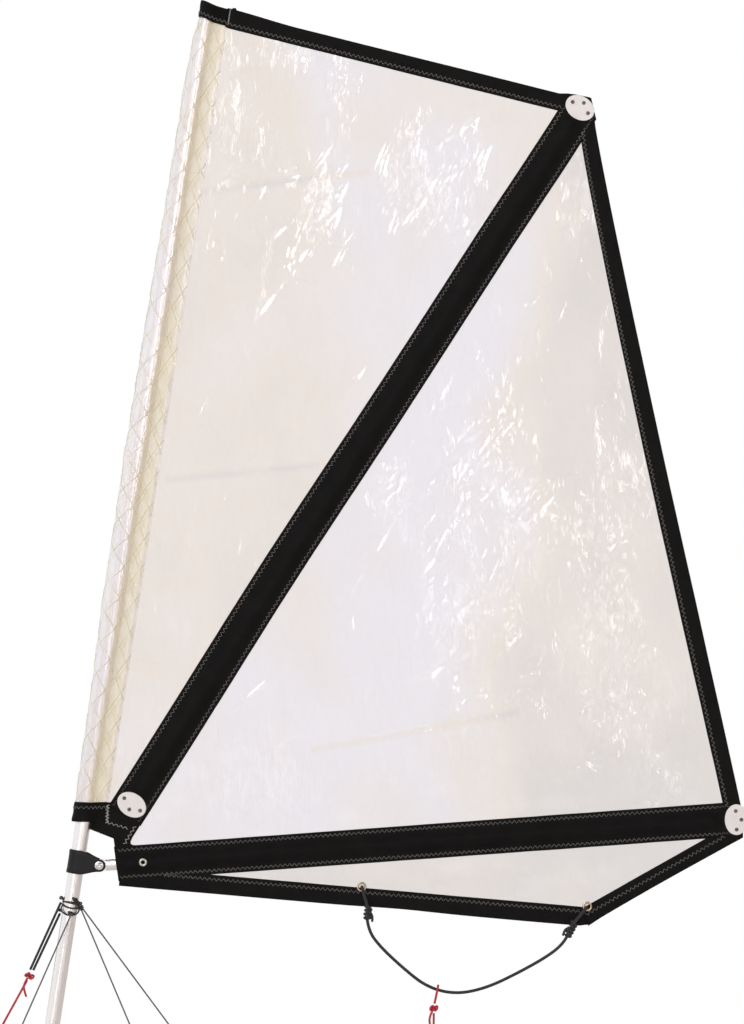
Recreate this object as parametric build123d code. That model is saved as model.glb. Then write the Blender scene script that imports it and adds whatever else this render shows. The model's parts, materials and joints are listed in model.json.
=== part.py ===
from build123d import *
from math import atan2, cos, degrees, hypot, pi, radians, sin, tan
import os

# Small stayed downwind sail rig. Millimetres. +X is aft, +Z is up, and the sail lies in the XZ plane.
# The origin is on the underside of the deck plate, below the raked mast's axis.

# ---------------------------------------------------------------- driving dimensions
RAKE = 8.7  # mast's lean aft from upright, degrees
PIVOT_HEIGHT = 36.0  # foot hinge pin above the deck
MAST_OD, MAST_WALL = 22.0, 1.2
MAST_FOOT, MAST_BREAK, MAST_END = 58.0, 800.0, 1588.0  # tube stations along the mast from the origin
SPRIT_OD, SPRIT_WALL = 16.0, 1.0
BOOM_OD, BOOM_WALL = 18.0, 1.2

GOOSENECK = (82.0, 318.0)  # boom pin: aft, up
TACK = (130.0, 407.5)  # centres of the three corner plates
PEAK = (793.0, 1438.5)
CLEW = (1021.0, 386.0)
HEAD_FRONT = (228.0, 1594.0)  # corners of the sail's outer edge
PEAK_CORNER = (810.0, 1448.5)
LEECH_END = (1030.5, 411.0)
CLEW_AFT = (1034.0, 390.0)
CLEW_LOW = (1034.5, 359.0)
FOOT_CORNER = (805.0, 229.5)
FOOT_FRONT = (111.0, 290.0)

FILM = 0.5  # film thickness
TAPE_WIDTH, TAPE_THICK = 26.0, 2.1  # edge tape, folded over the film
FOLD = 0.8  # how far a folded tape stands past the film's edge
SPRIT_SLEEVE, BOOM_SLEEVE = 54.0, 51.0  # sleeve widths laid flat
SLEEVE_FABRIC = 0.8
FLANGE = 8.0  # sewn flat edge each side of a sleeve
PATCH_THICK = 3.0  # stacked fabric at the corners
GAP = 0.4  # clearance between parts that move past each other

LUFF_RADIUS, LUFF_FLAP, LUFF_FILM = 13.2, 32.0, 0.6  # film sleeve round the mast, and its seam aft
LUFF_FRONT = 18.0  # how far the slack sleeve reaches forward of the mast's axis
LUFF_LOW, CAP_LOW, HEAD_LOW, HEAD_HIGH = 411.0, 383.0, 1570.0, 1625.0  # stations along the mast

PLATE_LONG, PLATE_SHORT, PLATE_THICK = 45.5, 34.5, 2.0
PLATE_ROUND = 0.9
RIVET_SHANK, RIVET_HEAD = 2.0, 3.0  # radii
GROMMET_RIM, GROMMET_BORE = 7.2, 4.8  # radii
GROMMETS = ((470.0, 286.0), (804.0, 257.0))

BUNGEE, SHEET_ROPE, STAY_ROPE, FORESTAY_CORD = 4.8, 3.4, 2.4, 3.8  # cord diameters
COLLAR = 265.0  # station of the stay collar along the mast

os.makedirs("parts", exist_ok=True)


# ---------------------------------------------------------------- helpers
def save(shape, node):
    """Writes one node."""
    export_step(shape, f"parts/{node}.step")


def spar_plane(start, end):
    """Plane across a spar at its start: z runs along it, x is its aft or lower side, y is +Y."""
    run, rise = end[0] - start[0], end[1] - start[1]
    length = hypot(run, rise)
    along = (run / length, 0, rise / length)
    return Plane(origin=(start[0], 0, start[1]), x_dir=(along[2], 0, -along[0]), z_dir=along)


MAST = spar_plane((0, 0), (sin(radians(RAKE)), cos(radians(RAKE))))
SPRIT = spar_plane(TACK, PEAK)
BOOM = spar_plane(GOOSENECK, CLEW)
SPRIT_LENGTH = hypot(PEAK[0] - TACK[0], PEAK[1] - TACK[1])
BOOM_LENGTH = hypot(CLEW[0] - GOOSENECK[0], CLEW[1] - GOOSENECK[1])


def at(plane, station, side=0.0):
    """Point in the sail plane, station along a spar and side to its aft or lower side, as (aft, up)."""
    p = plane.origin + plane.z_dir * station + plane.x_dir * side
    return (p.X, p.Z)


def station_of(plane, point):
    """A sail point's station along a spar."""
    return (Vector(point[0], 0, point[1]) - plane.origin).dot(plane.z_dir)


def meet(p, q, r, s):
    """Where the lines p-q and r-s cross."""
    d1, d2 = (q[0] - p[0], q[1] - p[1]), (s[0] - r[0], s[1] - r[1])
    cross = d1[0] * d2[1] - d1[1] * d2[0]
    t = ((r[0] - p[0]) * d2[1] - (r[1] - p[1]) * d2[0]) / cross
    return (p[0] + t * d1[0], p[1] + t * d1[1])


def inset(p, q, distance):
    """The line p-q moved to its right by distance."""
    run, rise = q[0] - p[0], q[1] - p[1]
    length = hypot(run, rise)
    dx, dz = rise / length * distance, -run / length * distance
    return (p[0] + dx, p[1] + dz), (q[0] + dx, q[1] + dz)


def flat(points, thick):
    """Flat solid in the sail plane with that outline."""
    return extrude(Plane.XZ * make_face(Polyline(*points, close=True)), thick / 2, both=True)


def along(plane, profile, low, high):
    """A profile across a spar, carried along it between two stations."""
    return extrude(plane.offset(low) * profile, high - low)


def ring(outer, inner):
    return Circle(outer) - Circle(inner)


def tube(plane, outside, wall, low, high):
    return along(plane, ring(outside / 2, outside / 2 - wall), low, high)


def across(point, radius, low, high):
    """Cylinder along Y through a sail point, from low to high."""
    plane = Plane(origin=(point[0], low, point[1]), x_dir=(1, 0, 0), z_dir=(0, 1, 0))
    return extrude(plane * Circle(radius), high - low)


def ball(centre, radius):
    return Pos(*centre) * Sphere(radius)


def rope(points, diameter, node):
    """Rope of straight runs joined by tangent arcs, each as large as its two runs allow."""
    runs = [Vector(*q) - Vector(*p) for p, q in zip(points, points[1:])]
    radii = []
    for a, b in zip(runs, runs[1:]):
        shorter, turn = min(a.length, b.length), a.get_angle(b)
        radii.append(0.45 * shorter / tan(radians(turn) / 2))
    if radii:
        path = FilletPolyline(*points, radius=radii)
    else:
        path = Line(*points)
    start = Plane(origin=points[0], z_dir=runs[0])
    solid = sweep(start * Circle(diameter / 2), path=path)
    section = pi * diameter**2 / 4
    print(node, "radii", [round(r, 1) for r in radii], "length", round(path.length, 1),
          "volume share", round(solid.volume / (section * path.length), 4))
    return solid


def cord(points, diameter, node):
    save(rope(points, diameter, node), node)


# ---------------------------------------------------------------- deck fitting
PLATE_X, PLATE_Y, PLATE_Z = 96.0, 66.0, 5.0
HOLE_X, HOLE_Y, HOLE_R = 76.0, 46.0, 2.6
PIVOT = at(MAST, PIVOT_HEIGHT / cos(radians(RAKE)))
EAR_RADIUS, EAR_IN, EAR_OUT = 12.0, 12.4, 15.4
BRACKET_X, BRACKET_BASE = 46.0, 2.5
PIN_RADIUS, PIN_FIT = 4.0, 0.06
EAR_TOP = PLATE_Z + BRACKET_BASE


def deck_plate():
    plate = Pos(0, 0, PLATE_Z / 2) * Box(PLATE_X, PLATE_Y, PLATE_Z)
    plate = fillet(plate.edges().filter_by(Axis.Z), 10)
    plate = chamfer(plate.faces().sort_by(Axis.Z)[-1].edges(), 1)
    for x in (-HOLE_X / 2, HOLE_X / 2):
        for y in (-HOLE_Y / 2, HOLE_Y / 2):
            plate -= Pos(x, y, PLATE_Z / 2) * Cylinder(HOLE_R, PLATE_Z)
    for x in (-16, 16):
        plate -= Pos(PIVOT[0] + x, 0, PLATE_Z / 2) * Cylinder(2, PLATE_Z)
    save(plate, "deck_plate")


def foot_bracket():
    base = Pos(PIVOT[0], 0, PLATE_Z + BRACKET_BASE / 2) * Box(BRACKET_X, 2 * EAR_OUT, BRACKET_BASE)
    for x in (-16, 16):
        base -= Pos(PIVOT[0] + x, 0, PLATE_Z + BRACKET_BASE / 2) * Cylinder(2, BRACKET_BASE)
    for low in (-EAR_OUT, EAR_IN):
        high = low + EAR_OUT - EAR_IN
        ear = across(PIVOT, EAR_RADIUS, low, high)
        foot = Pos(PIVOT[0], (low + high) / 2, (EAR_TOP + PIVOT[1]) / 2)
        ear += foot * Box(2 * EAR_RADIUS, high - low, PIVOT[1] - EAR_TOP)
        base += ear - across(PIVOT, PIN_RADIUS, low, high)
    save(base, "foot_bracket")


def bracket_screws():
    screws = []
    for x in (-16, 16):
        place = Pos(PIVOT[0] + x, 0, 0)
        head = Pos(0, 0, EAR_TOP + 1.1) * Cylinder(4, 2.2)
        screws.append(place * (Pos(0, 0, EAR_TOP / 2) * Cylinder(2, EAR_TOP) + head))
    save(Compound(children=screws), "bracket_screws")


def hinge_pin():
    pin = across(PIVOT, PIN_RADIUS, -EAR_OUT, EAR_OUT + 5)
    pin += across(PIVOT, 6.5, -EAR_OUT - 3, -EAR_OUT)
    pin -= Pos(PIVOT[0], EAR_OUT + 2.5, PIVOT[1]) * Cylinder(0.9, 12)
    split = Pos(PIVOT[0], EAR_OUT + 2.5, PIVOT[1]) * Cylinder(0.9, 12.4)
    split += Pos(PIVOT[0], EAR_OUT + 2.5, PIVOT[1] - 9.2) * Rot(90, 0, 0) * Torus(3.6, 0.9)
    save(Compound(children=[pin, split]), "hinge_pin_and_ring")


def mast_foot_plug():
    low, high = MAST_FOOT - 5, MAST_FOOT
    tongue = across(PIVOT, 11, -12, 12)
    rise = along(MAST, Rectangle(22, 24), PIVOT_HEIGHT, low)
    plug = tongue + rise + along(MAST, Circle(12.5), low, high)
    plug += along(MAST, Circle(MAST_OD / 2 - MAST_WALL), high, high + 36)
    save(plug - across(PIVOT, PIN_RADIUS + PIN_FIT, -13, 13), "mast_foot_plug")


# ---------------------------------------------------------------- mast
def mast():
    save(tube(MAST, MAST_OD, MAST_WALL, MAST_FOOT, MAST_BREAK), "mast_lower_tube")
    save(tube(MAST, MAST_OD, MAST_WALL, MAST_BREAK, MAST_END), "mast_upper_tube")
    save(tube(MAST, MAST_OD - 2 * MAST_WALL, 1.2, MAST_BREAK - 70, MAST_BREAK + 70), "mast_ferrule")
    cap = along(MAST, Circle(MAST_OD / 2), MAST_END, MAST_END + 3)
    cap += along(MAST, Circle(MAST_OD / 2 - MAST_WALL), MAST_END - 18, MAST_END)
    save(cap, "mast_top_cap")


def collar():
    """Two turns of cord drawn tight round the mast."""
    turns = []
    for lift, tip in ((-2.0, 7), (1.4, -6)):
        plane = MAST.offset(COLLAR + lift)
        turns.append(plane * Rot(0, tip, 0) * Torus(MAST_OD / 2 + 1.7, 1.3))
    save(turns[0] + turns[1], "stay_collar")


# ---------------------------------------------------------------- luff sleeve
def drop_profile(radius, tip, half_tip, front=None):
    """Round the mast in front, and closing to a flat seam aft."""
    angle = atan2(radius - half_tip, tip) * 0.9
    x, y = radius * sin(angle), radius * cos(angle)
    edges = ThreePointArc((x, y), (-(front or radius), 0), (x, -y))
    sides = Polyline((x, -y), (tip, -half_tip), (tip, half_tip), (x, y))
    return make_face(Curve() + [edges, sides])


def drop_shell(radius, tip, half_tip, wall, front=None):
    outer = drop_profile(radius, tip, half_tip, front)
    return outer - drop_profile(radius - wall, tip - 5, half_tip - 0.3, (front or radius) - wall)


def above_head(drop):
    """Everything above the head edge, lowered by drop."""
    front, rear = inset(HEAD_FRONT, PEAK_CORNER, drop)
    lift = 200.0
    slope = (rear[1] - front[1]) / (rear[0] - front[0])
    left, right = front[0] - lift, rear[0]
    corners = [(left, front[1] - slope * lift), (right, rear[1]), (right, rear[1] + 2 * lift)]
    return flat(corners + [(left, front[1] + 2 * lift)], 80)


def luff_sleeve():
    shell = drop_shell(LUFF_RADIUS, LUFF_FLAP, 0.7, LUFF_FILM, LUFF_FRONT)
    film = along(MAST, shell, LUFF_LOW, HEAD_LOW)
    save(film, "luff_sleeve")
    band = drop_shell(LUFF_RADIUS + 1.4, 30.0, 1.5, 1.4)
    save(along(MAST, band, CAP_LOW, LUFF_LOW), "luff_foot_band")
    outer = along(MAST, drop_profile(LUFF_RADIUS + 1.2, LUFF_FLAP, 1.5), HEAD_LOW, HEAD_HIGH)
    inner = along(MAST, drop_profile(LUFF_RADIUS - 0.4, LUFF_FLAP - 4, 0.7), HEAD_LOW, HEAD_HIGH)
    cap = outer - above_head(0) - (inner - above_head(2.0))
    save(cap, "head_cap")


# ---------------------------------------------------------------- sail panels and tapes
SEAM_LOW, SEAM_HIGH = at(MAST, LUFF_LOW, LUFF_FLAP), at(MAST, HEAD_HIGH, LUFF_FLAP)
SPRIT_FRONT = [at(SPRIT, s, -SPRIT_SLEEVE / 2 - GAP) for s in (0, SPRIT_LENGTH)]
SPRIT_AFT = [at(SPRIT, s, SPRIT_SLEEVE / 2) for s in (0, SPRIT_LENGTH)]
BOOM_TOP = [at(BOOM, s, -BOOM_SLEEVE / 2 - GAP) for s in (0, BOOM_LENGTH)]
BOOM_UNDER = [at(BOOM, s, BOOM_SLEEVE / 2) for s in (0, BOOM_LENGTH)]
HEAD = inset(HEAD_FRONT, PEAK_CORNER, FOLD)
LEECH = inset(PEAK_CORNER, LEECH_END, FOLD)
FOOT = inset(FOOT_CORNER, FOOT_FRONT, FOLD)
ROACH = inset(CLEW_LOW, FOOT_CORNER, FOLD)


def luff_panel():
    low = meet(SEAM_LOW, SEAM_HIGH, *SPRIT_FRONT)
    corners = [low, meet(SEAM_LOW, SEAM_HIGH, *HEAD), meet(*SPRIT_FRONT, *HEAD)]
    panel = flat(corners, FILM)
    save(panel, "luff_panel")
    outer = inset(HEAD_FRONT, PEAK_CORNER, 0)
    inner = inset(HEAD_FRONT, PEAK_CORNER, TAPE_WIDTH)
    ends = ((SEAM_LOW, SEAM_HIGH), SPRIT_FRONT)
    tape = [meet(*ends[0], *inner), meet(*ends[0], *outer), meet(*ends[1], *outer), meet(*ends[1], *inner)]
    save(flat(tape, TAPE_THICK) - panel, "head_tape")


def leech_panel():
    corners = [meet(*SPRIT_AFT, *BOOM_TOP), meet(*SPRIT_AFT, *LEECH), meet(*LEECH, *BOOM_TOP)]
    panel = flat(corners, FILM)
    save(panel, "leech_panel")
    outer = inset(PEAK_CORNER, LEECH_END, 0)
    inner = inset(PEAK_CORNER, LEECH_END, TAPE_WIDTH)
    ends = (SPRIT_AFT, BOOM_TOP)
    tape = [meet(*ends[0], *outer), meet(*ends[1], *outer), meet(*ends[1], *inner), meet(*ends[0], *inner)]
    save(flat(tape, TAPE_THICK) - panel, "leech_tape")


def grommet_hole(point, radius):
    return across(point, radius, -10, 10)


def foot_panel():
    start = at(BOOM, station_of(BOOM, FOOT_FRONT), BOOM_SLEEVE / 2)
    corners = [start, meet(*BOOM_UNDER, *ROACH), meet(*ROACH, *FOOT), (FOOT_FRONT[0], FOOT_FRONT[1] + FOLD)]
    panel = flat(corners, FILM)
    holes = grommet_hole(GROMMETS[0], GROMMET_BORE) + grommet_hole(GROMMETS[1], GROMMET_BORE)
    panel -= holes
    save(panel, "foot_panel")

    inner = inset(FOOT_CORNER, FOOT_FRONT, TAPE_WIDTH)
    rear_inner = inset(CLEW_LOW, FOOT_CORNER, TAPE_WIDTH)
    mitre = meet(*inner, *rear_inner)
    tape = [FOOT_FRONT, start, meet(*BOOM_UNDER, *inner), mitre, FOOT_CORNER]
    save(flat(tape, TAPE_THICK) - panel - holes, "foot_tape")
    outer_end = meet(CLEW_LOW, FOOT_CORNER, *BOOM_UNDER)
    rear = [FOOT_CORNER, mitre, meet(*rear_inner, *BOOM_UNDER), outer_end]
    save(flat(rear, TAPE_THICK) - panel - holes, "foot_tape_rear")


def grommets():
    rings = []
    half = TAPE_THICK / 2
    for point in GROMMETS:
        body = across(point, GROMMET_RIM, -half - 1.1, -half) + across(point, GROMMET_RIM, half, half + 1.1)
        body += across(point, GROMMET_BORE, -half, half)
        rings.append(body - across(point, GROMMET_BORE - 0.7, -half - 2, half + 2))
    save(Compound(children=rings), "foot_grommets")


# ---------------------------------------------------------------- sleeves and corner patches
def sleeve_profile(width, spar, fabric):
    """Flat sewn edges with a channel for the spar between them. A negative fabric gives the inside."""
    side, crest = width / 2 - FLANGE, spar / 2 + 0.3 + fabric
    half = 1.0 if fabric > 0 else 0.3
    edge = width / 2 if fabric > 0 else side
    top = ThreePointArc((-side, half), (0, crest), (side, half))
    low = ThreePointArc((side, -half), (0, -crest), (-side, -half))
    if fabric > 0:
        right = Polyline((side, half), (edge, half), (edge, -half), (side, -half))
        left = Polyline((-side, -half), (-edge, -half), (-edge, half), (-side, half))
    else:
        right = Line((side, half), (side, -half))
        left = Line((-side, -half), (-side, half))
    return make_face(Curve() + [top, right, low, left])


def sleeve(plane, width, spar, low, high):
    inside = sleeve_profile(width, spar, 0.0)
    return along(plane, sleeve_profile(width, spar, SLEEVE_FABRIC) - inside, low, high)


SPRIT_TAIL, SPRIT_SHUT = -20.0, 22.0  # flat lower end, and where the channel opens
BOOM_SHUT = BOOM_LENGTH - 30.0


def strip(plane, width, low, high, thick):
    return flat([at(plane, low, -width / 2), at(plane, high, -width / 2),
                 at(plane, high, width / 2), at(plane, low, width / 2)], thick)


def sail_area():
    outline = [HEAD_FRONT, PEAK_CORNER, LEECH_END, CLEW_AFT, CLEW_LOW, FOOT_CORNER, FOOT_FRONT]
    return flat(outline + [at(MAST, CAP_LOW, 0)], 60)


def sprit_sleeve():
    body = sleeve(SPRIT, SPRIT_SLEEVE, SPRIT_OD, SPRIT_SHUT, SPRIT_LENGTH - SPRIT_SHUT)
    body += strip(SPRIT, SPRIT_SLEEVE, SPRIT_TAIL, SPRIT_SHUT, PATCH_THICK)
    top = strip(SPRIT, SPRIT_SLEEVE, SPRIT_LENGTH - SPRIT_SHUT, SPRIT_LENGTH + 60, PATCH_THICK)
    body += top & sail_area()
    for x, z in rivet_points(TACK, TACK_RIVETS) + rivet_points(PEAK, PEAK_RIVETS):
        body -= across((x, z), RIVET_SHANK, -5, 5)
    save(body, "sprit_sleeve")


def boom_sleeve():
    body = sleeve(BOOM, BOOM_SLEEVE, BOOM_OD, 24, BOOM_SHUT)
    end = strip(BOOM, BOOM_SLEEVE, BOOM_SHUT, BOOM_LENGTH + 40, PATCH_THICK)
    body += end & sail_area()
    for x, z in rivet_points(CLEW_PLATE, CLEW_RIVETS):
        body -= across((x, z), RIVET_SHANK, -5, 5)
    save(body - across(EYELET, EYELET_RADIUS, -15, 15), "boom_sleeve")


def tack_patch():
    seam = [at(MAST, LUFF_LOW, 30.0), at(MAST, CAP_LOW, 30.0), at(MAST, CAP_LOW, 14.0)]
    low = [at(MAST, 372, 13.0), at(MAST, 370, 45.0)]
    along_boom = [at(BOOM, 24, -BOOM_SLEEVE / 2 - GAP), meet(*SPRIT_AFT, *BOOM_TOP)]
    tail = [at(SPRIT, SPRIT_TAIL - GAP, SPRIT_SLEEVE / 2), at(SPRIT, SPRIT_TAIL - GAP, -SPRIT_SLEEVE / 2 - GAP)]
    top = [meet(*SPRIT_FRONT, at(MAST, LUFF_LOW, 0), at(MAST, LUFF_LOW, 30))]
    save(flat(seam + low + along_boom + tail + top, PATCH_THICK), "tack_patch")


# ---------------------------------------------------------------- corner plates and rivets
# Rivets from each plate's centre, aft and up
PEAK_RIVETS = ((-10.8, 8.6), (5.6, 7.1), (11.8, -8.0))
TACK_RIVETS = ((-11.0, 9.8), (-3.7, -6.8), (12.4, -8.6))
CLEW_RIVETS = ((-1.1, 12.8), (7.2, 0.0), (0.1, -14.6))
CLEW_PLATE = (1024.5, 385.5)
SPRIT_TURN = degrees(atan2(SPRIT.x_dir.Z, SPRIT.x_dir.X))


def rivet_points(centre, offsets):
    return [(centre[0] + dx, centre[1] + dz) for dx, dz in offsets]


def corner_plate(name, centre, offsets, turn):
    half = PATCH_THICK / 2
    plates = []
    for low in (-half - PLATE_THICK, half):
        plane = Plane(origin=(centre[0], low + PLATE_THICK, centre[1]), x_dir=(1, 0, 0), z_dir=(0, -1, 0))
        plate = extrude(plane * Rot(0, 0, turn) * Ellipse(PLATE_LONG / 2, PLATE_SHORT / 2), PLATE_THICK)
        outside = plate.faces().sort_by(Axis.Y)[0 if low < 0 else -1]
        plate = fillet(outside.edges(), PLATE_ROUND)
        for point in rivet_points(centre, offsets):
            plate -= across(point, RIVET_SHANK, -8, 8)
        plates.append(plate)
    save(Compound(children=plates), f"{name}_plates")
    rivets = []
    outside = half + PLATE_THICK
    for point in rivet_points(centre, offsets):
        rivet = across(point, RIVET_SHANK, -outside, outside)
        rivet += across(point, RIVET_HEAD, -outside - 1.4, -outside)
        rivet += across(point, RIVET_HEAD, outside, outside + 1.4)
        rivets.append(rivet)
    save(Compound(children=rivets), f"{name}_rivets")


# ---------------------------------------------------------------- diagonal spar and boom
EYELET = at(BOOM, 65.0)
EYELET_RADIUS = 4.0
TONGUE_HALF, STRAP_IN, STRAP_OUT = 11.0, 11.4, 13.9
BOOM_TUBE_LOW = 12.0


def sprit_spar():
    low, high, middle = SPRIT_SHUT + 5, SPRIT_LENGTH - SPRIT_SHUT - 5, SPRIT_LENGTH / 2
    save(tube(SPRIT, SPRIT_OD, SPRIT_WALL, low, middle), "sprit_lower_tube")
    save(tube(SPRIT, SPRIT_OD, SPRIT_WALL, middle, high), "sprit_upper_tube")
    save(tube(SPRIT, SPRIT_OD - 2 * SPRIT_WALL, 1.0, middle - 60, middle + 60), "sprit_ferrule")
    inner = Circle(SPRIT_OD / 2 - SPRIT_WALL)
    caps = [along(SPRIT, Circle(SPRIT_OD / 2), low - 3, low) + along(SPRIT, inner, low, low + 16),
            along(SPRIT, Circle(SPRIT_OD / 2), high, high + 3) + along(SPRIT, inner, high - 16, high)]
    save(Compound(children=caps), "sprit_end_plugs")


def boom_spar():
    middle, high = BOOM_LENGTH / 2, BOOM_SHUT - 4
    hole = across(EYELET, EYELET_RADIUS, -15, 15)
    save(tube(BOOM, BOOM_OD, BOOM_WALL, BOOM_TUBE_LOW, middle) - hole, "boom_front_tube")
    save(tube(BOOM, BOOM_OD, BOOM_WALL, middle, high), "boom_rear_tube")
    save(tube(BOOM, BOOM_OD - 2 * BOOM_WALL, 1.2, middle - 60, middle + 60), "boom_ferrule")
    inner = Circle(BOOM_OD / 2 - BOOM_WALL)
    save(along(BOOM, Circle(BOOM_OD / 2), high, high + 3) + along(BOOM, inner, high - 18, high), "boom_end_plug")
    plug = across(GOOSENECK, 9, -TONGUE_HALF, TONGUE_HALF)
    plug += along(BOOM, Rectangle(18, 2 * TONGUE_HALF), 0, BOOM_TUBE_LOW - 2.5)
    plug += along(BOOM, Circle(BOOM_OD / 2), BOOM_TUBE_LOW - 2.5, BOOM_TUBE_LOW)
    plug += along(BOOM, inner, BOOM_TUBE_LOW, BOOM_TUBE_LOW + 30)
    save(plug - across(GOOSENECK, 3.06, -12, 12), "boom_front_plug")
    crest = BOOM_OD / 2 + 0.3 + SLEEVE_FABRIC
    eyelet = across(EYELET, EYELET_RADIUS, -crest - 1.2, crest + 1.2)
    for low, high in ((-crest - 1.2, -crest), (crest, crest + 1.2)):
        eyelet += across(EYELET, 6, low, high)
    save(eyelet - across(EYELET, 2.8, -20, 20), "boom_eyelet")


def gooseneck():
    """Plastic band round the mast, its two legs tapering to the boom's pin."""
    station, side = station_of(MAST, GOOSENECK), Vector(GOOSENECK[0], 0, GOOSENECK[1])
    reach = (side - MAST.origin).dot(MAST.x_dir)
    outer = Circle(STRAP_OUT) + Pos(30, 0) * Rectangle(60, 2 * STRAP_OUT)
    inner = Circle(STRAP_IN) + Pos(30, 0) * Rectangle(60, 2 * STRAP_IN)
    band = along(MAST, outer - inner, station - 17.5, station + 17.5)
    tall, short = 17.5, 9.5
    outline = [at(MAST, station + dz, dx) for dx, dz in
               ((-16, tall), (6, tall), (reach, short), (reach, -short), (6, -tall), (-16, -tall))]
    side_view = flat(outline, 40) + across(GOOSENECK, short, -20, 20)
    strap = (band & side_view) - across(GOOSENECK, 3, -20, 20)
    rims = strap.edges().filter_by(lambda e: abs(e.center().Y) > STRAP_OUT - 0.1 and e.length > 20)
    save(fillet(rims, 0.8), "gooseneck_strap")
    head = STRAP_OUT + 2.5
    pin = across(GOOSENECK, 3, -STRAP_OUT, STRAP_OUT)
    pin += across(GOOSENECK, 6.5, -head, -STRAP_OUT) + across(GOOSENECK, 6.5, STRAP_OUT, head)
    save(pin, "gooseneck_pin")


# ---------------------------------------------------------------- bridle and sheet
KNOT_FRONT, KNOT_REAR = (479.5, 0, 247.2), (776.4, 0, 222.7)
BRIDLE_PATH = [(478, 0, 240), (480, 0, 222), (496, 0, 199), (530, 0, 167), (566, 0, 138), (608, 0, 127),
               (654, 0, 136), (704, 0, 160), (748, 0, 185), (770, 0, 204), (775, 0, 215)]
LOOP_FRONT_PATH = [(479.5, -3.2, 253.8), (477, -4.9, 264.5), (473, -5.0, 276.0), (470.5, -4.9, 286.0),
                   (470.5, 4.9, 286.0), (473, 5.0, 276.0), (477, 4.9, 264.5), (479.5, 3.2, 253.8)]
LOOP_REAR_PATH = [(780.2, -3.2, 228.4), (786.8, -4.9, 236.2), (794.6, -5.0, 245.6), (803.2, -4.9, 256.2),
                  (803.2, 4.9, 256.2), (794.6, 5.0, 245.6), (786.8, 4.9, 236.2), (780.2, 3.2, 228.4)]
SHEET_PIVOT = (583.0, 0, 133.2)
SHEET_KNOT = (577.0, 0, 106.5)
SHEET_LOOP_PATH = [(577.9, -2.4, 113.6), (580.0, -4.5, 123.5), (582.2, -4.9, 133.5), (583.2, -2.9, 140.0),
                   (583.2, 2.9, 140.0), (582.2, 4.9, 133.5), (580.0, 4.5, 123.5), (577.9, 2.4, 113.6)]
SHEET_PATH = [(576.8, 0, 99.2), (576.4, 0.4, 76), (577.2, 0, 52)]
SHEET_END = (577.2, 0, 47.0)
SHEET_TAIL_PATH = [(575.0, -1.4, 103.6), (569.6, -4.2, 92.0), (571.4, -4.0, 82.5), (569.8, -3.2, 74.6)]


def bridle():
    knots = [ball(KNOT_FRONT, 6.0), ball(KNOT_REAR, 6.0)]
    save(Compound(children=knots), "bridle_knots")
    cord(LOOP_FRONT_PATH, BUNGEE, "bridle_loop_front")
    cord(LOOP_REAR_PATH, BUNGEE, "bridle_loop_rear")
    cord(BRIDLE_PATH, BUNGEE, "bridle_cord")


def sheet():
    cord(SHEET_LOOP_PATH, SHEET_ROPE, "sheet_loop")
    cord(SHEET_PATH, SHEET_ROPE, "sheet_line")
    knot = ball(SHEET_KNOT, 6.4) + rope(SHEET_TAIL_PATH, SHEET_ROPE, "sheet tail")
    save(Compound(children=[knot, ball(SHEET_END, 4.8)]), "sheet_knots")


# ---------------------------------------------------------------- stays
AFT_STAY_FAR = [(56.5, 6.5, 254.5), (186.0, 152.0, 66.0)]
AFT_STAY_NEAR = [(55.8, -6.5, 252.0), (142.5, -152.0, 66.0)]
FORE_STAY_NEAR = [(39.6, -16.0, 243.0), (-38.0, -78.0, 66.0)]
FORESTAY_UPPER = [(24.8, 5.9, 262.6), (-21.4, 29.0, 162.0)]
FORESTAY_LOWER = [(23.2, 13.8, 246.0), (-17.0, 32.5, 161.0)]
FORESTAY_KNOT = (-22.6, 32.4, 152.6)
FORESTAY_LINE = [(-26.4, 33.8, 145.7), (-70.5, 50.0, 66.0)]
FORESTAY_TAIL = [(-25.6, 31.2, 149.6), (-31.8, 27.6, 139.0), (-29.8, 26.8, 129.4), (-27.2, 27.4, 121.4)]
HOOK_RADIUS, HOOK_WIRE = 4.2, 1.1


def stay_hook(path):
    """Small ring hook on a stay's lower end."""
    start, end = Vector(*path[0]), Vector(*path[-1])
    down = (end - start).normalized()
    centre = end + down * (HOOK_RADIUS + HOOK_WIRE + 0.1)
    plane = Plane(origin=centre, x_dir=down, z_dir=down.cross(Vector(0, 0, 1)))
    return plane * Torus(HOOK_RADIUS, HOOK_WIRE)


def stay(name, path, diameter):
    cord(path, diameter, f"{name}_line")
    start, end = Vector(*path[0]), Vector(*path[1])
    knot = start - (end - start).normalized() * 2.6
    save(Compound(children=[ball(knot, 2.5), stay_hook(path)]), f"{name}_ends")


def forestay():
    cord(FORESTAY_UPPER, FORESTAY_CORD, "forestay_cord_upper")
    cord(FORESTAY_LOWER, FORESTAY_CORD, "forestay_cord_lower")
    cord(FORESTAY_LINE, SHEET_ROPE, "forestay_line")
    knot = ball(FORESTAY_KNOT, 7.6) + rope(FORESTAY_TAIL, SHEET_ROPE, "forestay tail")
    save(Compound(children=[knot, stay_hook(FORESTAY_LINE)]), "forestay_ends")


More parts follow.
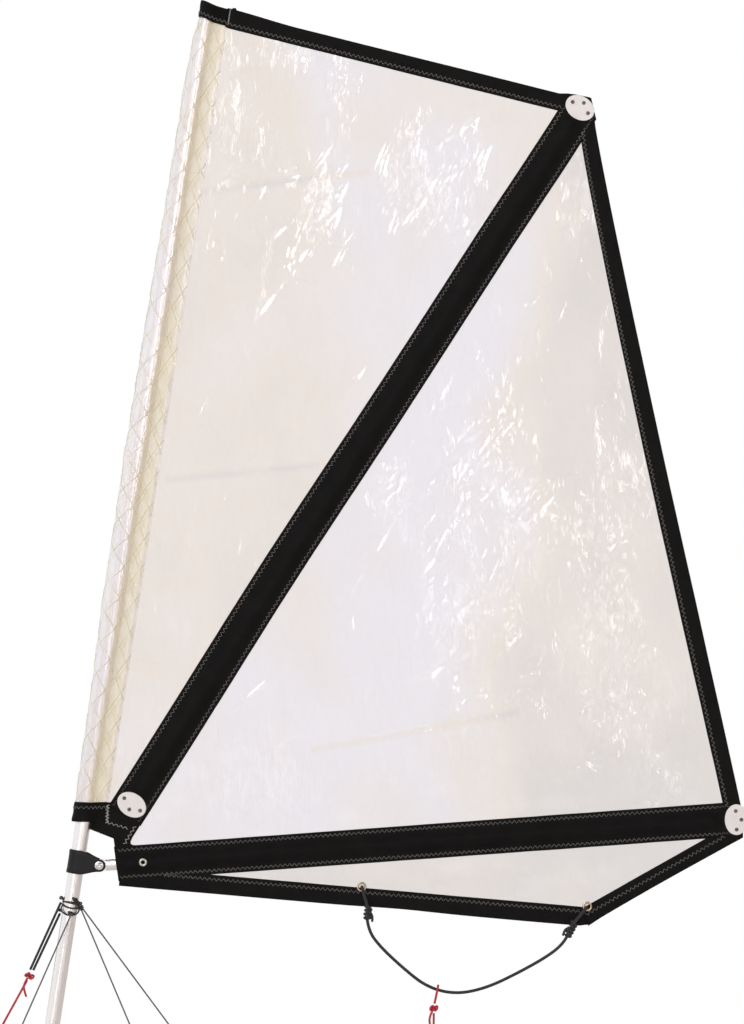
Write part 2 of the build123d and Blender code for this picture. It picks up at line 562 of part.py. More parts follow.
def main():
    deck_plate()
    foot_bracket()
    bracket_screws()
    hinge_pin()
    mast_foot_plug()
    mast()
    collar()
    luff_sleeve()
    luff_panel()
    leech_panel()
    foot_panel()
    grommets()
    sprit_sleeve()
    boom_sleeve()
    tack_patch()
    corner_plate("peak", PEAK, PEAK_RIVETS, SPRIT_TURN)
    corner_plate("tack", TACK, TACK_RIVETS, SPRIT_TURN)
    corner_plate("clew", CLEW_PLATE, CLEW_RIVETS, 90)
    sprit_spar()
    boom_spar()
    gooseneck()
    bridle()
    sheet()
    stay("aft_stay_far", AFT_STAY_FAR, STAY_ROPE)
    stay("aft_stay_near", AFT_STAY_NEAR, STAY_ROPE)
    stay("fore_stay_near", FORE_STAY_NEAR, STAY_ROPE)
    forestay()


main()
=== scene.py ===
import json
import math
import random

import bmesh
import bpy
import mathutils.geometry
import numpy as np
from mathutils import Matrix, Vector, noise

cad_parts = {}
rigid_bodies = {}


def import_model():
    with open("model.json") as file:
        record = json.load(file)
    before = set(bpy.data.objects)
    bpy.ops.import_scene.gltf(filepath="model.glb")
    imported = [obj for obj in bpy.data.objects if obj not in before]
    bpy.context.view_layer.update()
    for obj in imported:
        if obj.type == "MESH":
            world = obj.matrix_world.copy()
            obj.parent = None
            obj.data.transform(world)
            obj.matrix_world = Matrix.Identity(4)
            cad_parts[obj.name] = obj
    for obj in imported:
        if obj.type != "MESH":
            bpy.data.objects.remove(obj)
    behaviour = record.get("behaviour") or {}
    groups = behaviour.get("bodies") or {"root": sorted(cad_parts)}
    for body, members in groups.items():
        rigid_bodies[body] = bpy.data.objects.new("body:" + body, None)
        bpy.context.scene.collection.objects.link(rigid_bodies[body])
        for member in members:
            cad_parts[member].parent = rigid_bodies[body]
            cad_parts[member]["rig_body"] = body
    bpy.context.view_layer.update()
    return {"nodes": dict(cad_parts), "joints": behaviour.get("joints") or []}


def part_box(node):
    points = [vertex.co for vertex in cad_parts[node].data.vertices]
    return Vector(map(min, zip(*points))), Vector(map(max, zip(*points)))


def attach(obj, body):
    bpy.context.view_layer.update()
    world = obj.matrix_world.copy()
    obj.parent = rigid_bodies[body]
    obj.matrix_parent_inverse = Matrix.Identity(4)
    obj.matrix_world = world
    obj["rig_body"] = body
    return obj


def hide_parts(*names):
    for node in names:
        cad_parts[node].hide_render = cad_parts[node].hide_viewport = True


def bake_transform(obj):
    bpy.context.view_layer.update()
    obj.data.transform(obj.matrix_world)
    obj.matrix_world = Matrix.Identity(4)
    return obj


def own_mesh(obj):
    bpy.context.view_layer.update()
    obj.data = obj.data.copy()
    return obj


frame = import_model()
joints = {j["name"]: j for j in frame["joints"]}

# Metres. +X is aft, +Z is up, and the sail lies in the XZ plane, so a "sail point" is (aft, up).
MM = 0.001


# ---------------------------------------------------------------- driving dimensions
def sail(x, z):
    """Sail point from millimetres."""
    return np.array([x, z]) * MM


def middle(node):
    low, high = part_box(node)
    return np.array([(low.x + high.x) / 2, (low.z + high.z) / 2])


MAST_AXIS = Vector(joints["boom_swing"]["axis"])
GOOSENECK = np.array([joints["boom_fold"]["pos_m"][0], joints["boom_fold"]["pos_m"][2]])
TACK, PEAK, CLEW_PLATE = middle("tack_plates"), middle("peak_plates"), middle("clew_plates")

HEAD_FRONT = sail(228.0, 1594.0)  # corners of the sail's outer edge
PEAK_CORNER = sail(810.0, 1448.5)
LEECH_END = sail(1030.5, 411.0)
CLEW = sail(1021.0, 386.0)
CLEW_LOW = sail(1034.5, 359.0)
CLEW_AFT = sail(1034.0, 390.0)
FOOT_CORNER = sail(805.0, 229.5)
FOOT_FRONT = sail(111.0, 290.0)
GROMMETS = [sail(470.0, 286.0), sail(804.0, 257.0)]

MAST_RADIUS = 11.0 * MM
SPRIT_SLEEVE, BOOM_SLEEVE = 54.0 * MM, 51.0 * MM  # widths laid flat
SPRIT_CREST, BOOM_CREST = 9.1 * MM, 10.1 * MM  # half thickness over the spar
FLANGE, FLANGE_HALF = 8.0 * MM, 1.0 * MM
PATCH_HALF = 1.5 * MM
TAPE, TAPE_HALF = 26.0 * MM, 1.05 * MM
LUFF_RADIUS, LUFF_FLAP = 13.2 * MM, 32.0 * MM
TUCK = 12 * MM  # how far a film reaches under the sleeve that holds it
LAP = 4 * MM  # how far a tape reaches under a sleeve
LUFF_LOW, LUFF_HIGH = 411.0 * MM, 1590.0 * MM
THREAD = 0.42 * MM  # radius of the sewing thread
STITCH_PITCH, STITCH_REACH = 7.0 * MM, 2.3 * MM
BUNGEE, SHEET_ROPE, STAY_ROPE, FORESTAY_CORD = 4.8 * MM, 3.4 * MM, 2.4 * MM, 3.8 * MM


# ---------------------------------------------------------------- sail geometry
def unit(v):
    return v / np.linalg.norm(v)


def right_of(d):
    return np.array([d[1], -d[0]])


class Spar:
    """A line in the sail plane: station along it, side to its aft or lower side."""

    def __init__(self, start, end):
        self.start = np.array(start, float)
        self.length = float(np.linalg.norm(end - self.start))
        self.along = (end - self.start) / self.length
        self.side = right_of(self.along)

    def at(self, station, side=0.0):
        return self.start + self.along * station + self.side * side

    def line(self, side):
        return self.at(0, side), self.at(1, side)

    def point(self, station, side, out):
        x, z = self.at(station, side)
        return Vector((x, out, z))

    def station_where(self, side, p, q):
        """Station at which the line at that side crosses the line p-q."""
        base, run = self.at(0, side), q - p
        cross = self.along[0] * run[1] - self.along[1] * run[0]
        d = p - base
        return (d[0] * run[1] - d[1] * run[0]) / cross


MAST = Spar((0, 0), np.array([MAST_AXIS.x, MAST_AXIS.z]))
SPRIT = Spar(TACK, PEAK)
BOOM = Spar(GOOSENECK, CLEW)


def inset(p, q, distance):
    """The line p-q moved to its right."""
    shift = right_of(unit(q - p)) * distance
    return p + shift, q + shift


def meet(p, q, r, s):
    d1, d2 = q - p, s - r
    t = ((r[0] - p[0]) * d2[1] - (r[1] - p[1]) * d2[0]) / (d1[0] * d2[1] - d1[1] * d2[0])
    return p + t * d1


def smooth(t):
    t = np.clip(t, 0, 1)
    return t * t * (3 - 2 * t)


def run_along(points):
    """Distance along a path from its first point to each of its points."""
    steps = np.linalg.norm(np.diff(points, axis=0), axis=1)
    return np.concatenate([[0], np.cumsum(steps)])


def ripple(x, y, z):
    return noise.noise(Vector((x, y, z)))


def line_angle(spar, side, radius):
    """Angle about the gooseneck at which a spar's side line is that far from it."""
    d = spar.at(0, side) - GOOSENECK
    offset = spar.along[0] * d[1] - spar.along[1] * d[0]
    heading = math.atan2(spar.along[1], spar.along[0])
    return heading + np.arcsin(np.clip(offset / np.maximum(radius, 1e-6), -1, 1))


def fan_share(x, z, first, second):
    """0 on the first (spar, side) line and 1 on the second, by angle about the gooseneck."""
    dx, dz = x - GOOSENECK[0], z - GOOSENECK[1]
    radius, angle = np.hypot(dx, dz), np.arctan2(dz, dx)
    a, b = line_angle(*first, radius), line_angle(*second, radius)
    return np.clip((a - angle) / np.maximum(a - b, 1e-4), 0, 1)


LUFF_FAN = ((MAST, LUFF_FLAP), (SPRIT, -SPRIT_SLEEVE / 2))
LEECH_FAN = ((SPRIT, SPRIT_SLEEVE / 2), (BOOM, -BOOM_SLEEVE / 2))
TACK_FAN = ((SPRIT, -SPRIT_SLEEVE / 2), (BOOM, -BOOM_SLEEVE / 2))
BOOM_LIFT = math.radians(38)  # the boom's full travel


def gather_share(x, z):
    """Share of the boom's turn that its sleeve makes. Near the tack its upper flap lags behind."""
    dx, dz = x - GOOSENECK[0], z - GOOSENECK[1]
    radius = np.maximum(np.hypot(dx, dz), 0.1 * MM)
    above = np.arctan2(dz, dx) - math.atan2(BOOM.along[1], BOOM.along[0])
    held = np.arcsin(np.clip(11.5 * MM / radius, 0, 1))
    lag = 0.85 * np.maximum(above - held, 0) * (1 - smooth((radius - 90 * MM) / (70 * MM)))
    return np.clip(1 - lag / BOOM_LIFT, 0, 1)


def blended(obj, a, b, share):
    """Bakes obj's transform and works out share(x, z) at its vertices; bodies a and b are not used."""
    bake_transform(obj)
    co = np.zeros(len(obj.data.vertices) * 3)
    obj.data.vertices.foreach_get("co", co)
    co = co.reshape(-1, 3)
    share(co[:, 0], co[:, 2]).astype(np.float32)


def fan(obj, a, b, lines):
    """Hands obj to blended, with its share between two lines by angle about the gooseneck."""
    blended(obj, a, b, lambda x, z: fan_share(x, z, *lines))


# ---------------------------------------------------------------- mesh building
class Piece:
    """Collects surfaces with their material number and surface coordinates in metres."""

    def __init__(self):
        self.verts, self.faces, self.mats, self.uvs, self.count = [], [], [], [], 0

    def add(self, verts, faces, uvs, mat=0):
        verts = np.asarray(verts, float).reshape(-1, 3)
        for block, uv in zip(faces, uvs):
            self.faces.append(np.asarray(block) + self.count)
            self.uvs.append(np.asarray(uv, float).reshape(-1, 2))
            self.mats.append(np.full(len(block), mat))
        self.verts.append(verts)
        self.count += len(verts)

    def build(self, name, materials, body=None, slot=None, replaces=()):
        verts = np.concatenate(self.verts)
        loops = np.concatenate([f.ravel() for f in self.faces])
        sizes = np.concatenate([np.full(len(f), f.shape[1]) for f in self.faces])
        mesh = bpy.data.meshes.new(name)
        mesh.vertices.add(len(verts))
        mesh.vertices.foreach_set("co", verts.ravel())
        mesh.loops.add(len(loops))
        mesh.loops.foreach_set("vertex_index", loops.astype(np.int32))
        mesh.polygons.add(len(sizes))
        mesh.polygons.foreach_set("loop_start", np.concatenate([[0], np.cumsum(sizes)[:-1]]).astype(np.int32))
        mesh.polygons.foreach_set("loop_total", sizes.astype(np.int32))
        mesh.polygons.foreach_set("material_index", np.concatenate(self.mats).astype(np.int32))
        mesh.uv_layers.new(name="UVMap").data.foreach_set("uv", np.concatenate(self.uvs).ravel())
        mesh.update(calc_edges=True)
        mesh.validate()
        mesh.polygons.foreach_set("use_smooth", np.ones(len(sizes), bool))
        for m in materials:
            mesh.materials.append(m)
        obj = bpy.data.objects.new(name, mesh)
        bpy.context.scene.collection.objects.link(obj)
        if body:
            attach(obj, body)
        if replaces:
            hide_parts(*replaces)
        return obj


def loft(piece, rings, mat=0, closed=True, caps=True, around=None):
    """Skin over rings of equal length. Rings run counter-clockwise seen from ahead of the loft."""
    rings = np.asarray(rings, float)
    n, m = rings.shape[:2]
    run = run_along(rings.mean(axis=1))
    if around is None:
        ring = np.vstack([rings[n // 2], rings[n // 2][:1]])
        around = run_along(ring)
    i = np.arange(n - 1)[:, None]
    j = np.arange(m if closed else m - 1)[None, :]
    k = (j + 1) % m
    quads = np.stack([i * m + j, i * m + k, (i + 1) * m + k, (i + 1) * m + j], axis=-1).reshape(-1, 4)
    u0 = np.broadcast_to(run[i], (n - 1, j.size))
    u1 = np.broadcast_to(run[i + 1], (n - 1, j.size))
    v0 = np.broadcast_to(around[j], (n - 1, j.size))
    v1 = np.broadcast_to(around[j + 1], (n - 1, j.size))
    uv = np.stack([np.stack([u0, v0], -1), np.stack([u0, v1], -1),
                   np.stack([u1, v1], -1), np.stack([u1, v0], -1)], axis=2)
    faces, uvs = [quads], [uv.reshape(-1, 2)]
    if caps:
        flat = np.stack([around[:m], np.zeros(m)], -1)
        faces += [np.arange(m)[::-1][None, :], (np.arange(m) + (n - 1) * m)[None, :]]
        uvs += [flat[::-1], flat]
    piece.add(rings.reshape(-1, 3), faces, uvs, mat)


def frames_along(points):
    """Tangents and a pair of turning-free normals at each point of a path."""
    p = np.asarray(points, float)
    t = np.gradient(p, axis=0)
    t /= np.linalg.norm(t, axis=1)[:, None]
    first = np.cross(t[0], [0.31, 0.95, 0.02])
    n = [first / np.linalg.norm(first)]
    for a in t[1:]:
        v = n[-1] - a * (n[-1] @ a)
        n.append(v / np.linalg.norm(v))
    n = np.array(n)
    return t, n, np.cross(t, n)


def tube(piece, points, radius, sides=8, mat=0, caps=True, weave=None):
    """Tube along a path. weave is (strands, lay length, depth share) of a braided cover."""
    p = np.asarray(points, float)
    _, n, b = frames_along(p)
    run = run_along(p)
    phi = np.linspace(0, 2 * math.pi, sides, endpoint=False)
    r = np.broadcast_to(np.asarray(radius, float).reshape(-1, 1), (len(p), sides)).copy()
    if weave:
        strands, lay, depth = weave
        twist = 2 * math.pi * run[:, None] / lay
        one = np.sin(strands * (phi[None, :] + twist))
        two = np.sin(strands * (phi[None, :] - twist))
        r = r * (1 - depth + depth * np.maximum(one, two))
    rings = p[:, None] + r[..., None] * (np.cos(phi)[None, :, None] * n[:, None]
                                         + np.sin(phi)[None, :, None] * b[:, None])
    around = np.linspace(0, 2 * math.pi, sides + 1) * float(np.mean(r))
    loft(piece, rings, mat, caps=caps, around=around)


def lathe(piece, profile, centre, axis, sides=28, mat=0):
    """Turns a profile of (radius, height) about an axis."""
    axis = Vector(axis).normalized()
    x = axis.orthogonal().normalized()
    y = axis.cross(x)
    phi = np.linspace(0, 2 * math.pi, sides, endpoint=False)
    ring = np.cos(phi)[:, None] * np.array(x) + np.sin(phi)[:, None] * np.array(y)
    rings = [np.array(centre) + r * ring + h * np.array(axis) for r, h in profile]
    closed = profile[0][0] > 1e-6 and profile[0] == profile[-1]
    loft(piece, rings, mat, caps=not closed)


def turned(outline, wide=1.0, high=1.0):
    """Profile of a turned part from (radius, height) in millimetres, listed from its top."""
    return [(r * MM * wide, h * MM * high) for r, h in outline][::-1]


def route(points):
    """Smooth line of a cord: the points of a NURBS curve with these control points."""
    curve = bpy.data.curves.new("route", "CURVE")
    curve.dimensions, curve.resolution_u = "3D", 24
    spline = curve.splines.new("NURBS")
    spline.points.add(len(points) - 1)
    for p, c in zip(spline.points, points):
        p.co = (*(x * MM for x in c), 1)
    spline.order_u = 3
    spline.use_endpoint_u = True
    temp = bpy.data.objects.new("route", curve)
    mesh = bpy.data.meshes.new_from_object(temp)
    line = [np.array(v.co) for v in mesh.vertices]
    bpy.data.objects.remove(temp)
    bpy.data.meshes.remove(mesh)
    return np.array(line)


def even(line, step):
    """The same line with points evenly spaced."""
    line = np.asarray(line, float)
    run = run_along(line)
    count = max(4, int(round(run[-1] / step)))
    at = np.linspace(0, run[-1], count + 1)
    return np.stack([np.interp(at, run, line[:, k]) for k in range(3)], axis=1), float(run[-1])


# ---------------------------------------------------------------- materials
def new_material(name):
    m = bpy.data.materials.new(name)
    m.use_nodes = True
    return m, m.node_tree, m.node_tree.nodes["Principled BSDF"]


def put(node, **values):
    """Sets or links a node's inputs. A _ in a name stands for a space."""
    for key, value in values.items():
        socket = node.inputs[key.replace("_", " ")]
        if isinstance(value, bpy.types.NodeSocket):
            node.id_data.links.new(value, socket)
        else:
            socket.default_value = value


def add_node(tree, kind, **settings):
    """A new node with its inputs put, or else its properties set."""
    n = tree.nodes.new(kind)
    for key, value in settings.items():
        if key.replace("_", " ") in n.inputs:
            put(n, **{key: value})
        else:
            setattr(n, key, value)
    return n


def coordinates(tree, source, scale=(1, 1, 1)):
    coords = add_node(tree, "ShaderNodeTexCoord")
    return add_node(tree, "ShaderNodeMapping", Scale=scale, Vector=coords.outputs[source]).outputs["Vector"]


def noise_at(tree, vector, scale, detail=4.0, rough=0.55):
    n = add_node(tree, "ShaderNodeTexNoise", Scale=scale, Detail=detail, Roughness=rough, Vector=vector)
    return n.outputs["Fac"]


def ramp(tree, value, stops):
    r = add_node(tree, "ShaderNodeValToRGB")
    for e, (at, colour) in zip(r.color_ramp.elements, (stops[0], stops[-1])):
        e.position, e.color = at, (*colour, 1)
    for at, colour in stops[1:-1]:
        r.color_ramp.elements.new(at).color = (*colour, 1)
    put(r, Fac=value)
    return r.outputs["Color"]


def spread(tree, value, low, high):
    return add_node(tree, "ShaderNodeMapRange", To_Min=low, To_Max=high, Value=value).outputs["Result"]


def maths(tree, kind, a, b):
    n = add_node(tree, "ShaderNodeMath", operation=kind)
    for socket, value in zip(n.inputs, (a, b)):
        if isinstance(value, float):
            socket.default_value = value
        else:
            tree.links.new(value, socket)
    return n.outputs[0]


def bump(tree, shader, height, distance, strength=1.0):
    n = add_node(tree, "ShaderNodeBump", Strength=strength, Distance=distance, Height=height)
    put(shader, Normal=n.outputs["Normal"])


def bands(tree, vector, direction, pitch):
    """Parallel threads that pitch apart, 0 to 1."""
    w = add_node(tree, "ShaderNodeTexWave", wave_type="BANDS", bands_direction=direction, wave_profile="SIN",
                 Scale=2 * math.pi / (20 * pitch), Vector=vector)
    return w.outputs["Fac"]


def fabric(name, dark, light, pitch=1.1 * MM):
    m, tree, shader = new_material(name)
    v = coordinates(tree, "UV")
    weave = maths(tree, "MAXIMUM", bands(tree, v, "X", pitch), bands(tree, v, "Y", pitch))
    mottle = noise_at(tree, v, 34.0)
    put(shader, Base_Color=ramp(tree, mottle, [(0.25, dark), (0.75, light)]),
        Roughness=spread(tree, noise_at(tree, v, 120.0), 0.62, 0.82),
        Specular_IOR_Level=0.12, Sheen_Weight=0.02, Sheen_Roughness=0.5)
    height = maths(tree, "ADD", weave, maths(tree, "MULTIPLY", noise_at(tree, v, 260.0), 1.5))
    bump(tree, shader, height, 0.16 * MM, 0.6)
    return m


def metal(name, dark, light, rough, grain):
    """Metal with fine marks. grain is how closely they follow each other along each axis."""
    m, tree, shader = new_material(name)
    lines = noise_at(tree, coordinates(tree, "Object", grain), 1.0, 3.0)
    put(shader, Base_Color=ramp(tree, lines, [(0.3, dark), (0.7, light)]),
        Roughness=spread(tree, lines, rough - 0.06, rough + 0.1), Metallic=1.0)
    bump(tree, shader, lines, 0.02 * MM, 0.5)
    return m


def plastic(name, dark, light, rough, grain=420.0, gloss=0.5):
    m, tree, shader = new_material(name)
    v = coordinates(tree, "Object")
    put(shader, Base_Color=ramp(tree, noise_at(tree, v, 60.0), [(0.3, dark), (0.7, light)]),
        Roughness=spread(tree, noise_at(tree, v, 150.0), rough - 0.05, rough + 0.08), Specular_IOR_Level=gloss)
    bump(tree, shader, noise_at(tree, v, grain * 4), 0.06 * MM, 0.35)
    return m


def braid(name, dark, light, rough=0.7, fleck=None):
    m, tree, shader = new_material(name)
    v = coordinates(tree, "UV")
    turned = add_node(tree, "ShaderNodeMapping", Rotation=(0, 0, math.radians(38)), Vector=v)
    t = turned.outputs["Vector"]
    yarn = maths(tree, "MAXIMUM", bands(tree, t, "X", 0.9 * MM), bands(tree, t, "Y", 0.9 * MM))
    shade = maths(tree, "MULTIPLY", yarn, noise_at(tree, v, 300.0))
    stops = [(0.1, dark), (0.6, light)] + ([(0.8, fleck)] if fleck else [])
    put(shader, Base_Color=ramp(tree, shade, stops), Roughness=rough, Sheen_Weight=0.1)
    bump(tree, shader, yarn, 0.12 * MM, 0.7)
    return m


def facets(tree, vector, scale, steep):
    """Height of crumpled film: flat facets that each lean their own way."""
    cells = add_node(tree, "ShaderNodeTexVoronoi", Scale=scale, Vector=vector)
    inside = add_node(tree, "ShaderNodeVectorMath", operation="SUBTRACT")
    tree.links.new(vector, inside.inputs[0])
    tree.links.new(cells.outputs["Position"], inside.inputs[1])
    lean = add_node(tree, "ShaderNodeVectorMath", operation="SUBTRACT")
    tree.links.new(cells.outputs["Color"], lean.inputs[0])
    lean.inputs[1].default_value = (0.5, 0.5, 0.5)
    rise = add_node(tree, "ShaderNodeVectorMath", operation="DOT_PRODUCT")
    tree.links.new(inside.outputs["Vector"], rise.inputs[0])
    tree.links.new(lean.outputs["Vector"], rise.inputs[1])
    return maths(tree, "MULTIPLY", rise.outputs["Value"], steep)


def film(name, opacity, stops, depth, coat=0.8, gloss=0.9, rough=0.05):
    """Milky see-through film. One mesh attribute says how cream it is, and on the luff sleeve also where shade is
    painted in; crinkle says how creased.
    """
    m, tree, shader = new_material(name)
    v = coordinates(tree, "Object")
    tint = add_node(tree, "ShaderNodeAttribute", attribute_name="tint")
    crinkle = add_node(tree, "ShaderNodeAttribute", attribute_name="crinkle")
    put(shader, Base_Color=ramp(tree, tint.outputs["Fac"], list(zip((0.0, 0.5, 1.0), stops))))
    slanted = add_node(tree, "ShaderNodeMapping", Rotation=(0, math.radians(-35), 0), Scale=(1.0, 1.0, 0.38),
                       Vector=v)
    s = slanted.outputs["Vector"]
    ridge = maths(tree, "ABSOLUTE", maths(tree, "SUBTRACT", noise_at(tree, s, 34.0, 2.0), 0.5), 0.0)
    fine = maths(tree, "ABSOLUTE", maths(tree, "SUBTRACT", noise_at(tree, s, 95.0, 3.0), 0.5), 0.0)
    folds = maths(tree, "ADD", maths(tree, "MULTIPLY", ridge, 4.0), maths(tree, "MULTIPLY", fine, 1.6))
    creased = maths(tree, "MULTIPLY", crinkle.outputs["Fac"], 0.95)
    waves = maths(tree, "MULTIPLY", maths(tree, "MULTIPLY", folds, maths(tree, "ADD", creased, 0.17)), depth)
    crumpled = maths(tree, "ADD", facets(tree, s, 30.0, 0.42), facets(tree, s, 85.0, 0.34))
    patchy = spread(tree, noise_at(tree, s, 11.0, 2.0), 0.25, 1.3)
    crumpled = maths(tree, "MULTIPLY", maths(tree, "MULTIPLY", crumpled, patchy), maths(tree, "ADD", creased, 0.16))
    bump(tree, shader, maths(tree, "ADD", waves, crumpled), 1.0)
    put(shader, Alpha=spread(tree, noise_at(tree, v, 14.0), opacity - 0.04, opacity + 0.04),
        Roughness=spread(tree, noise_at(tree, v, 40.0), rough, rough + 0.07), IOR=1.5, Specular_IOR_Level=gloss,
        Coat_Weight=coat, Coat_Roughness=0.05, Coat_IOR=1.7)
    return m


BLACK, BLACK_LIGHT = (0.0030, 0.0027, 0.0026), (0.0066, 0.0060, 0.0057)
black_fabric = fabric("black_fabric", BLACK, BLACK_LIGHT)
thread = braid("grey_thread", (0.085, 0.082, 0.076), (0.27, 0.26, 0.245))
light_thread = braid("light_thread", (0.35, 0.34, 0.32), (0.62, 0.6, 0.56))
lattice_thread = braid("lattice_thread", (0.66, 0.60, 0.34), (0.84, 0.78, 0.50))
tube_alloy = metal("drawn_tube", (0.92, 0.88, 0.86), (0.99, 0.955, 0.93), 0.3, (700, 700, 5))
ferrule_alloy = metal("plain_tube", (0.55, 0.55, 0.56), (0.68, 0.68, 0.69), 0.35, (700, 700, 5))
stainless = metal("stainless", (0.5, 0.5, 0.51), (0.66, 0.66, 0.67), 0.32, (12, 600, 600))
rivet_metal = metal("rivet_alloy", (0.13, 0.115, 0.105), (0.24, 0.215, 0.195), 0.42, (300, 300, 300))
pin_metal = metal("pin_steel", (0.6, 0.6, 0.61), (0.78, 0.78, 0.78), 0.3, (300, 300, 300))
grommet_metal = metal("plated_eyelet", (0.52, 0.38, 0.22), (0.72, 0.6, 0.42), 0.3, (250, 250, 250))
eyelet_metal = metal("nickel_eyelet", (0.5, 0.47, 0.4), (0.68, 0.65, 0.58), 0.3, (250, 250, 250))
white_plastic = plastic("white_plate", (0.78, 0.75, 0.73), (0.84, 0.81, 0.80), 0.34)
strap_plastic = plastic("strap_plastic", (0.004, 0.004, 0.005), (0.008, 0.0075, 0.009), 0.46, 200.0, gloss=0.28)
black_plastic = plastic("black_plastic", (0.014, 0.014, 0.015), (0.026, 0.026, 0.028), 0.5)
spar_composite = plastic("spar_composite", (0.03, 0.03, 0.033), (0.05, 0.05, 0.054), 0.4)
bungee_cover = braid("shock_cord", (0.006, 0.006, 0.008), (0.028, 0.028, 0.036))
collar_cover = braid("collar_cord", (0.010, 0.010, 0.012), (0.045, 0.045, 0.050))
stay_cover = braid("stay_cord", (0.055, 0.055, 0.06), (0.20, 0.20, 0.21))
red_cover = braid("red_rope", (0.30, 0.008, 0.016), (0.72, 0.03, 0.06), 0.6, (0.85, 0.10, 0.14))
panel_film = film("panel_film", 0.5, ((0.76, 0.70, 0.80), (0.735, 0.60, 0.48), (0.53, 0.45, 0.41)), 1.6 * MM)
# Its warm stops are partly the film's cream, partly painted shade where the mast's shaded side shows through the
# luff sleeve.
sleeve_film = film("sleeve_film", 0.54, ((0.97, 0.94, 1.0), (0.98, 0.91, 0.80), (0.98, 0.90, 0.66)), 1.2 * MM,
                   coat=0.1, gloss=0.45, rough=0.12)


# ---------------------------------------------------------------- camera and light
VIEW_CENTRE, VIEW_HEIGHT, DISTANCE = (485.4 * MM, 840.6 * MM), 1515.0 * MM, 12.0
SENSOR = 36.0


def camera():
    data = bpy.data.cameras.new("camera")
    data.sensor_width = SENSOR
    data.lens = SENSOR * DISTANCE / VIEW_HEIGHT
    obj = bpy.data.objects.new("camera", data)
    obj.location = (VIEW_CENTRE[0], -DISTANCE, VIEW_CENTRE[1])
    obj.rotation_euler = (math.radians(90), 0, 0)
    bpy.context.scene.collection.objects.link(obj)
    bpy.context.scene.camera = obj


def area_light(name, place, target, size, watts, colour):
    data = bpy.data.lights.new(name, "AREA")
    data.shape, data.size, data.size_y = "RECTANGLE", size[0], size[1]
    data.energy, data.color = watts, colour
    obj = bpy.data.objects.new(name, data)
    obj.location = place
    obj.rotation_euler = (Vector(target) - Vector(place)).to_track_quat("-Z", "Y").to_euler()
    obj.visible_camera = False
    bpy.context.scene.collection.objects.link(obj)


def studio():
    """White studio. The world lights the rig more softly than it shows, and from +X with warm shade."""
    scene = bpy.context.scene
    scene.view_settings.view_transform = "Standard"
    world = bpy.data.worlds.new("studio")
    scene.world = world
    world.use_nodes = True
    tree = world.node_tree
    coords = add_node(tree, "ShaderNodeTexCoord")
    split = add_node(tree, "ShaderNodeSeparateXYZ")
    tree.links.new(coords.outputs["Generated"], split.inputs[0])
    across = maths(tree, "MULTIPLY", maths(tree, "ADD", split.outputs["X"], 1.0), 0.5)
    sides = ramp(tree, across, [(0.0, (1.0, 1.0, 1.02)), (0.22, (0.92, 0.92, 0.95)), (0.34, (0.36, 0.36, 0.39)),
                                (0.52, (0.36, 0.36, 0.38)), (0.70, (0.36, 0.34, 0.33)), (0.80, (0.41, 0.29, 0.22)),
                                (1.0, (0.41, 0.28, 0.21))])
    shown = add_node(tree, "ShaderNodeBackground", Color=(1, 1, 1, 1))
    soft = tree.nodes["Background"]
    put(soft, Color=sides)
    rays, mix = add_node(tree, "ShaderNodeLightPath"), add_node(tree, "ShaderNodeMixShader")
    tree.links.new(rays.outputs["Is Camera Ray"], mix.inputs[0])
    tree.links.new(soft.outputs[0], mix.inputs[1])
    tree.links.new(shown.outputs[0], mix.inputs[2])
    tree.links.new(mix.outputs[0], tree.nodes["World Output"].inputs[0])
    area_light("key", (-1.35, -5.2, 2.25), (0.5, 0, 0.9), (1.7, 1.8), 64, (1.0, 0.99, 0.98))
    area_light("fill", (2.6, -4.6, 1.8), (0.5, 0, 0.9), (0.7, 1.1), 11, (1.0, 0.91, 0.82))
    area_light("strip", (-0.6, -3.4, 4.4), (0.5, 0, 0.8), (1.8, 0.3), 20, (1.0, 1.0, 1.0))
    area_light("spark", (2.0, -4.8, 1.2), (0.5, 0, 0.9), (0.7, 0.8), 18, (1.0, 0.94, 0.88))
    area_light("card", (-1.2, -5.6, 0.8), (0.3, 0, 0.6), (0.7, 3.0), 16, (1.0, 1.0, 1.0))
    area_light("rim", (-0.6, 3.8, 2.8), (0.5, 0, 0.9), (1.2, 1.2), 34, (1.0, 1.0, 1.0))


def floor():
    piece = Piece()
    rings = []
    phi = np.linspace(0, 2 * math.pi, 64, endpoint=False)
    for radius in (0.5, 2.0, 5.0, 12.0, 40.0):
        rings.append(np.stack([radius * np.cos(phi), radius * np.sin(phi), np.zeros(64)], -1))
    loft(piece, rings, caps=False)
    piece.add(rings[0], [np.arange(64)[None, :]], [np.zeros((64, 2))])
    m, tree, shader = new_material("pale_floor")
    v = coordinates(tree, "Object")
    put(shader, Roughness=0.9,
        Base_Color=ramp(tree, noise_at(tree, v, 3.0), [(0.3, (0.86, 0.86, 0.86)), (0.7, (0.9, 0.9, 0.9))]))
    away = add_node(tree, "ShaderNodeVectorMath", operation="LENGTH")
    tree.links.new(v, away.inputs[0])
    clear = add_node(tree, "ShaderNodeMapRange", From_Min=0.75, From_Max=1.25, To_Min=0.25, To_Max=1.0,
                     Value=away.outputs["Value"])
    rays, mix = add_node(tree, "ShaderNodeLightPath"), add_node(tree, "ShaderNodeMixShader")
    tree.links.new(maths(tree, "MULTIPLY", clear.outputs["Result"], rays.outputs["Is Camera Ray"]), mix.inputs[0])
    tree.links.new(shader.outputs[0], mix.inputs[1])
    tree.links.new(add_node(tree, "ShaderNodeEmission").outputs[0], mix.inputs[2])
    tree.links.new(mix.outputs[0], tree.nodes["Material Output"].inputs[0])
    obj = piece.build("floor", [m])


# ---------------------------------------------------------------- cords
def mirrored(half):
    """A loop from its near half."""
    return half + [(x, -y, z) for x, y, z in half[::-1]]


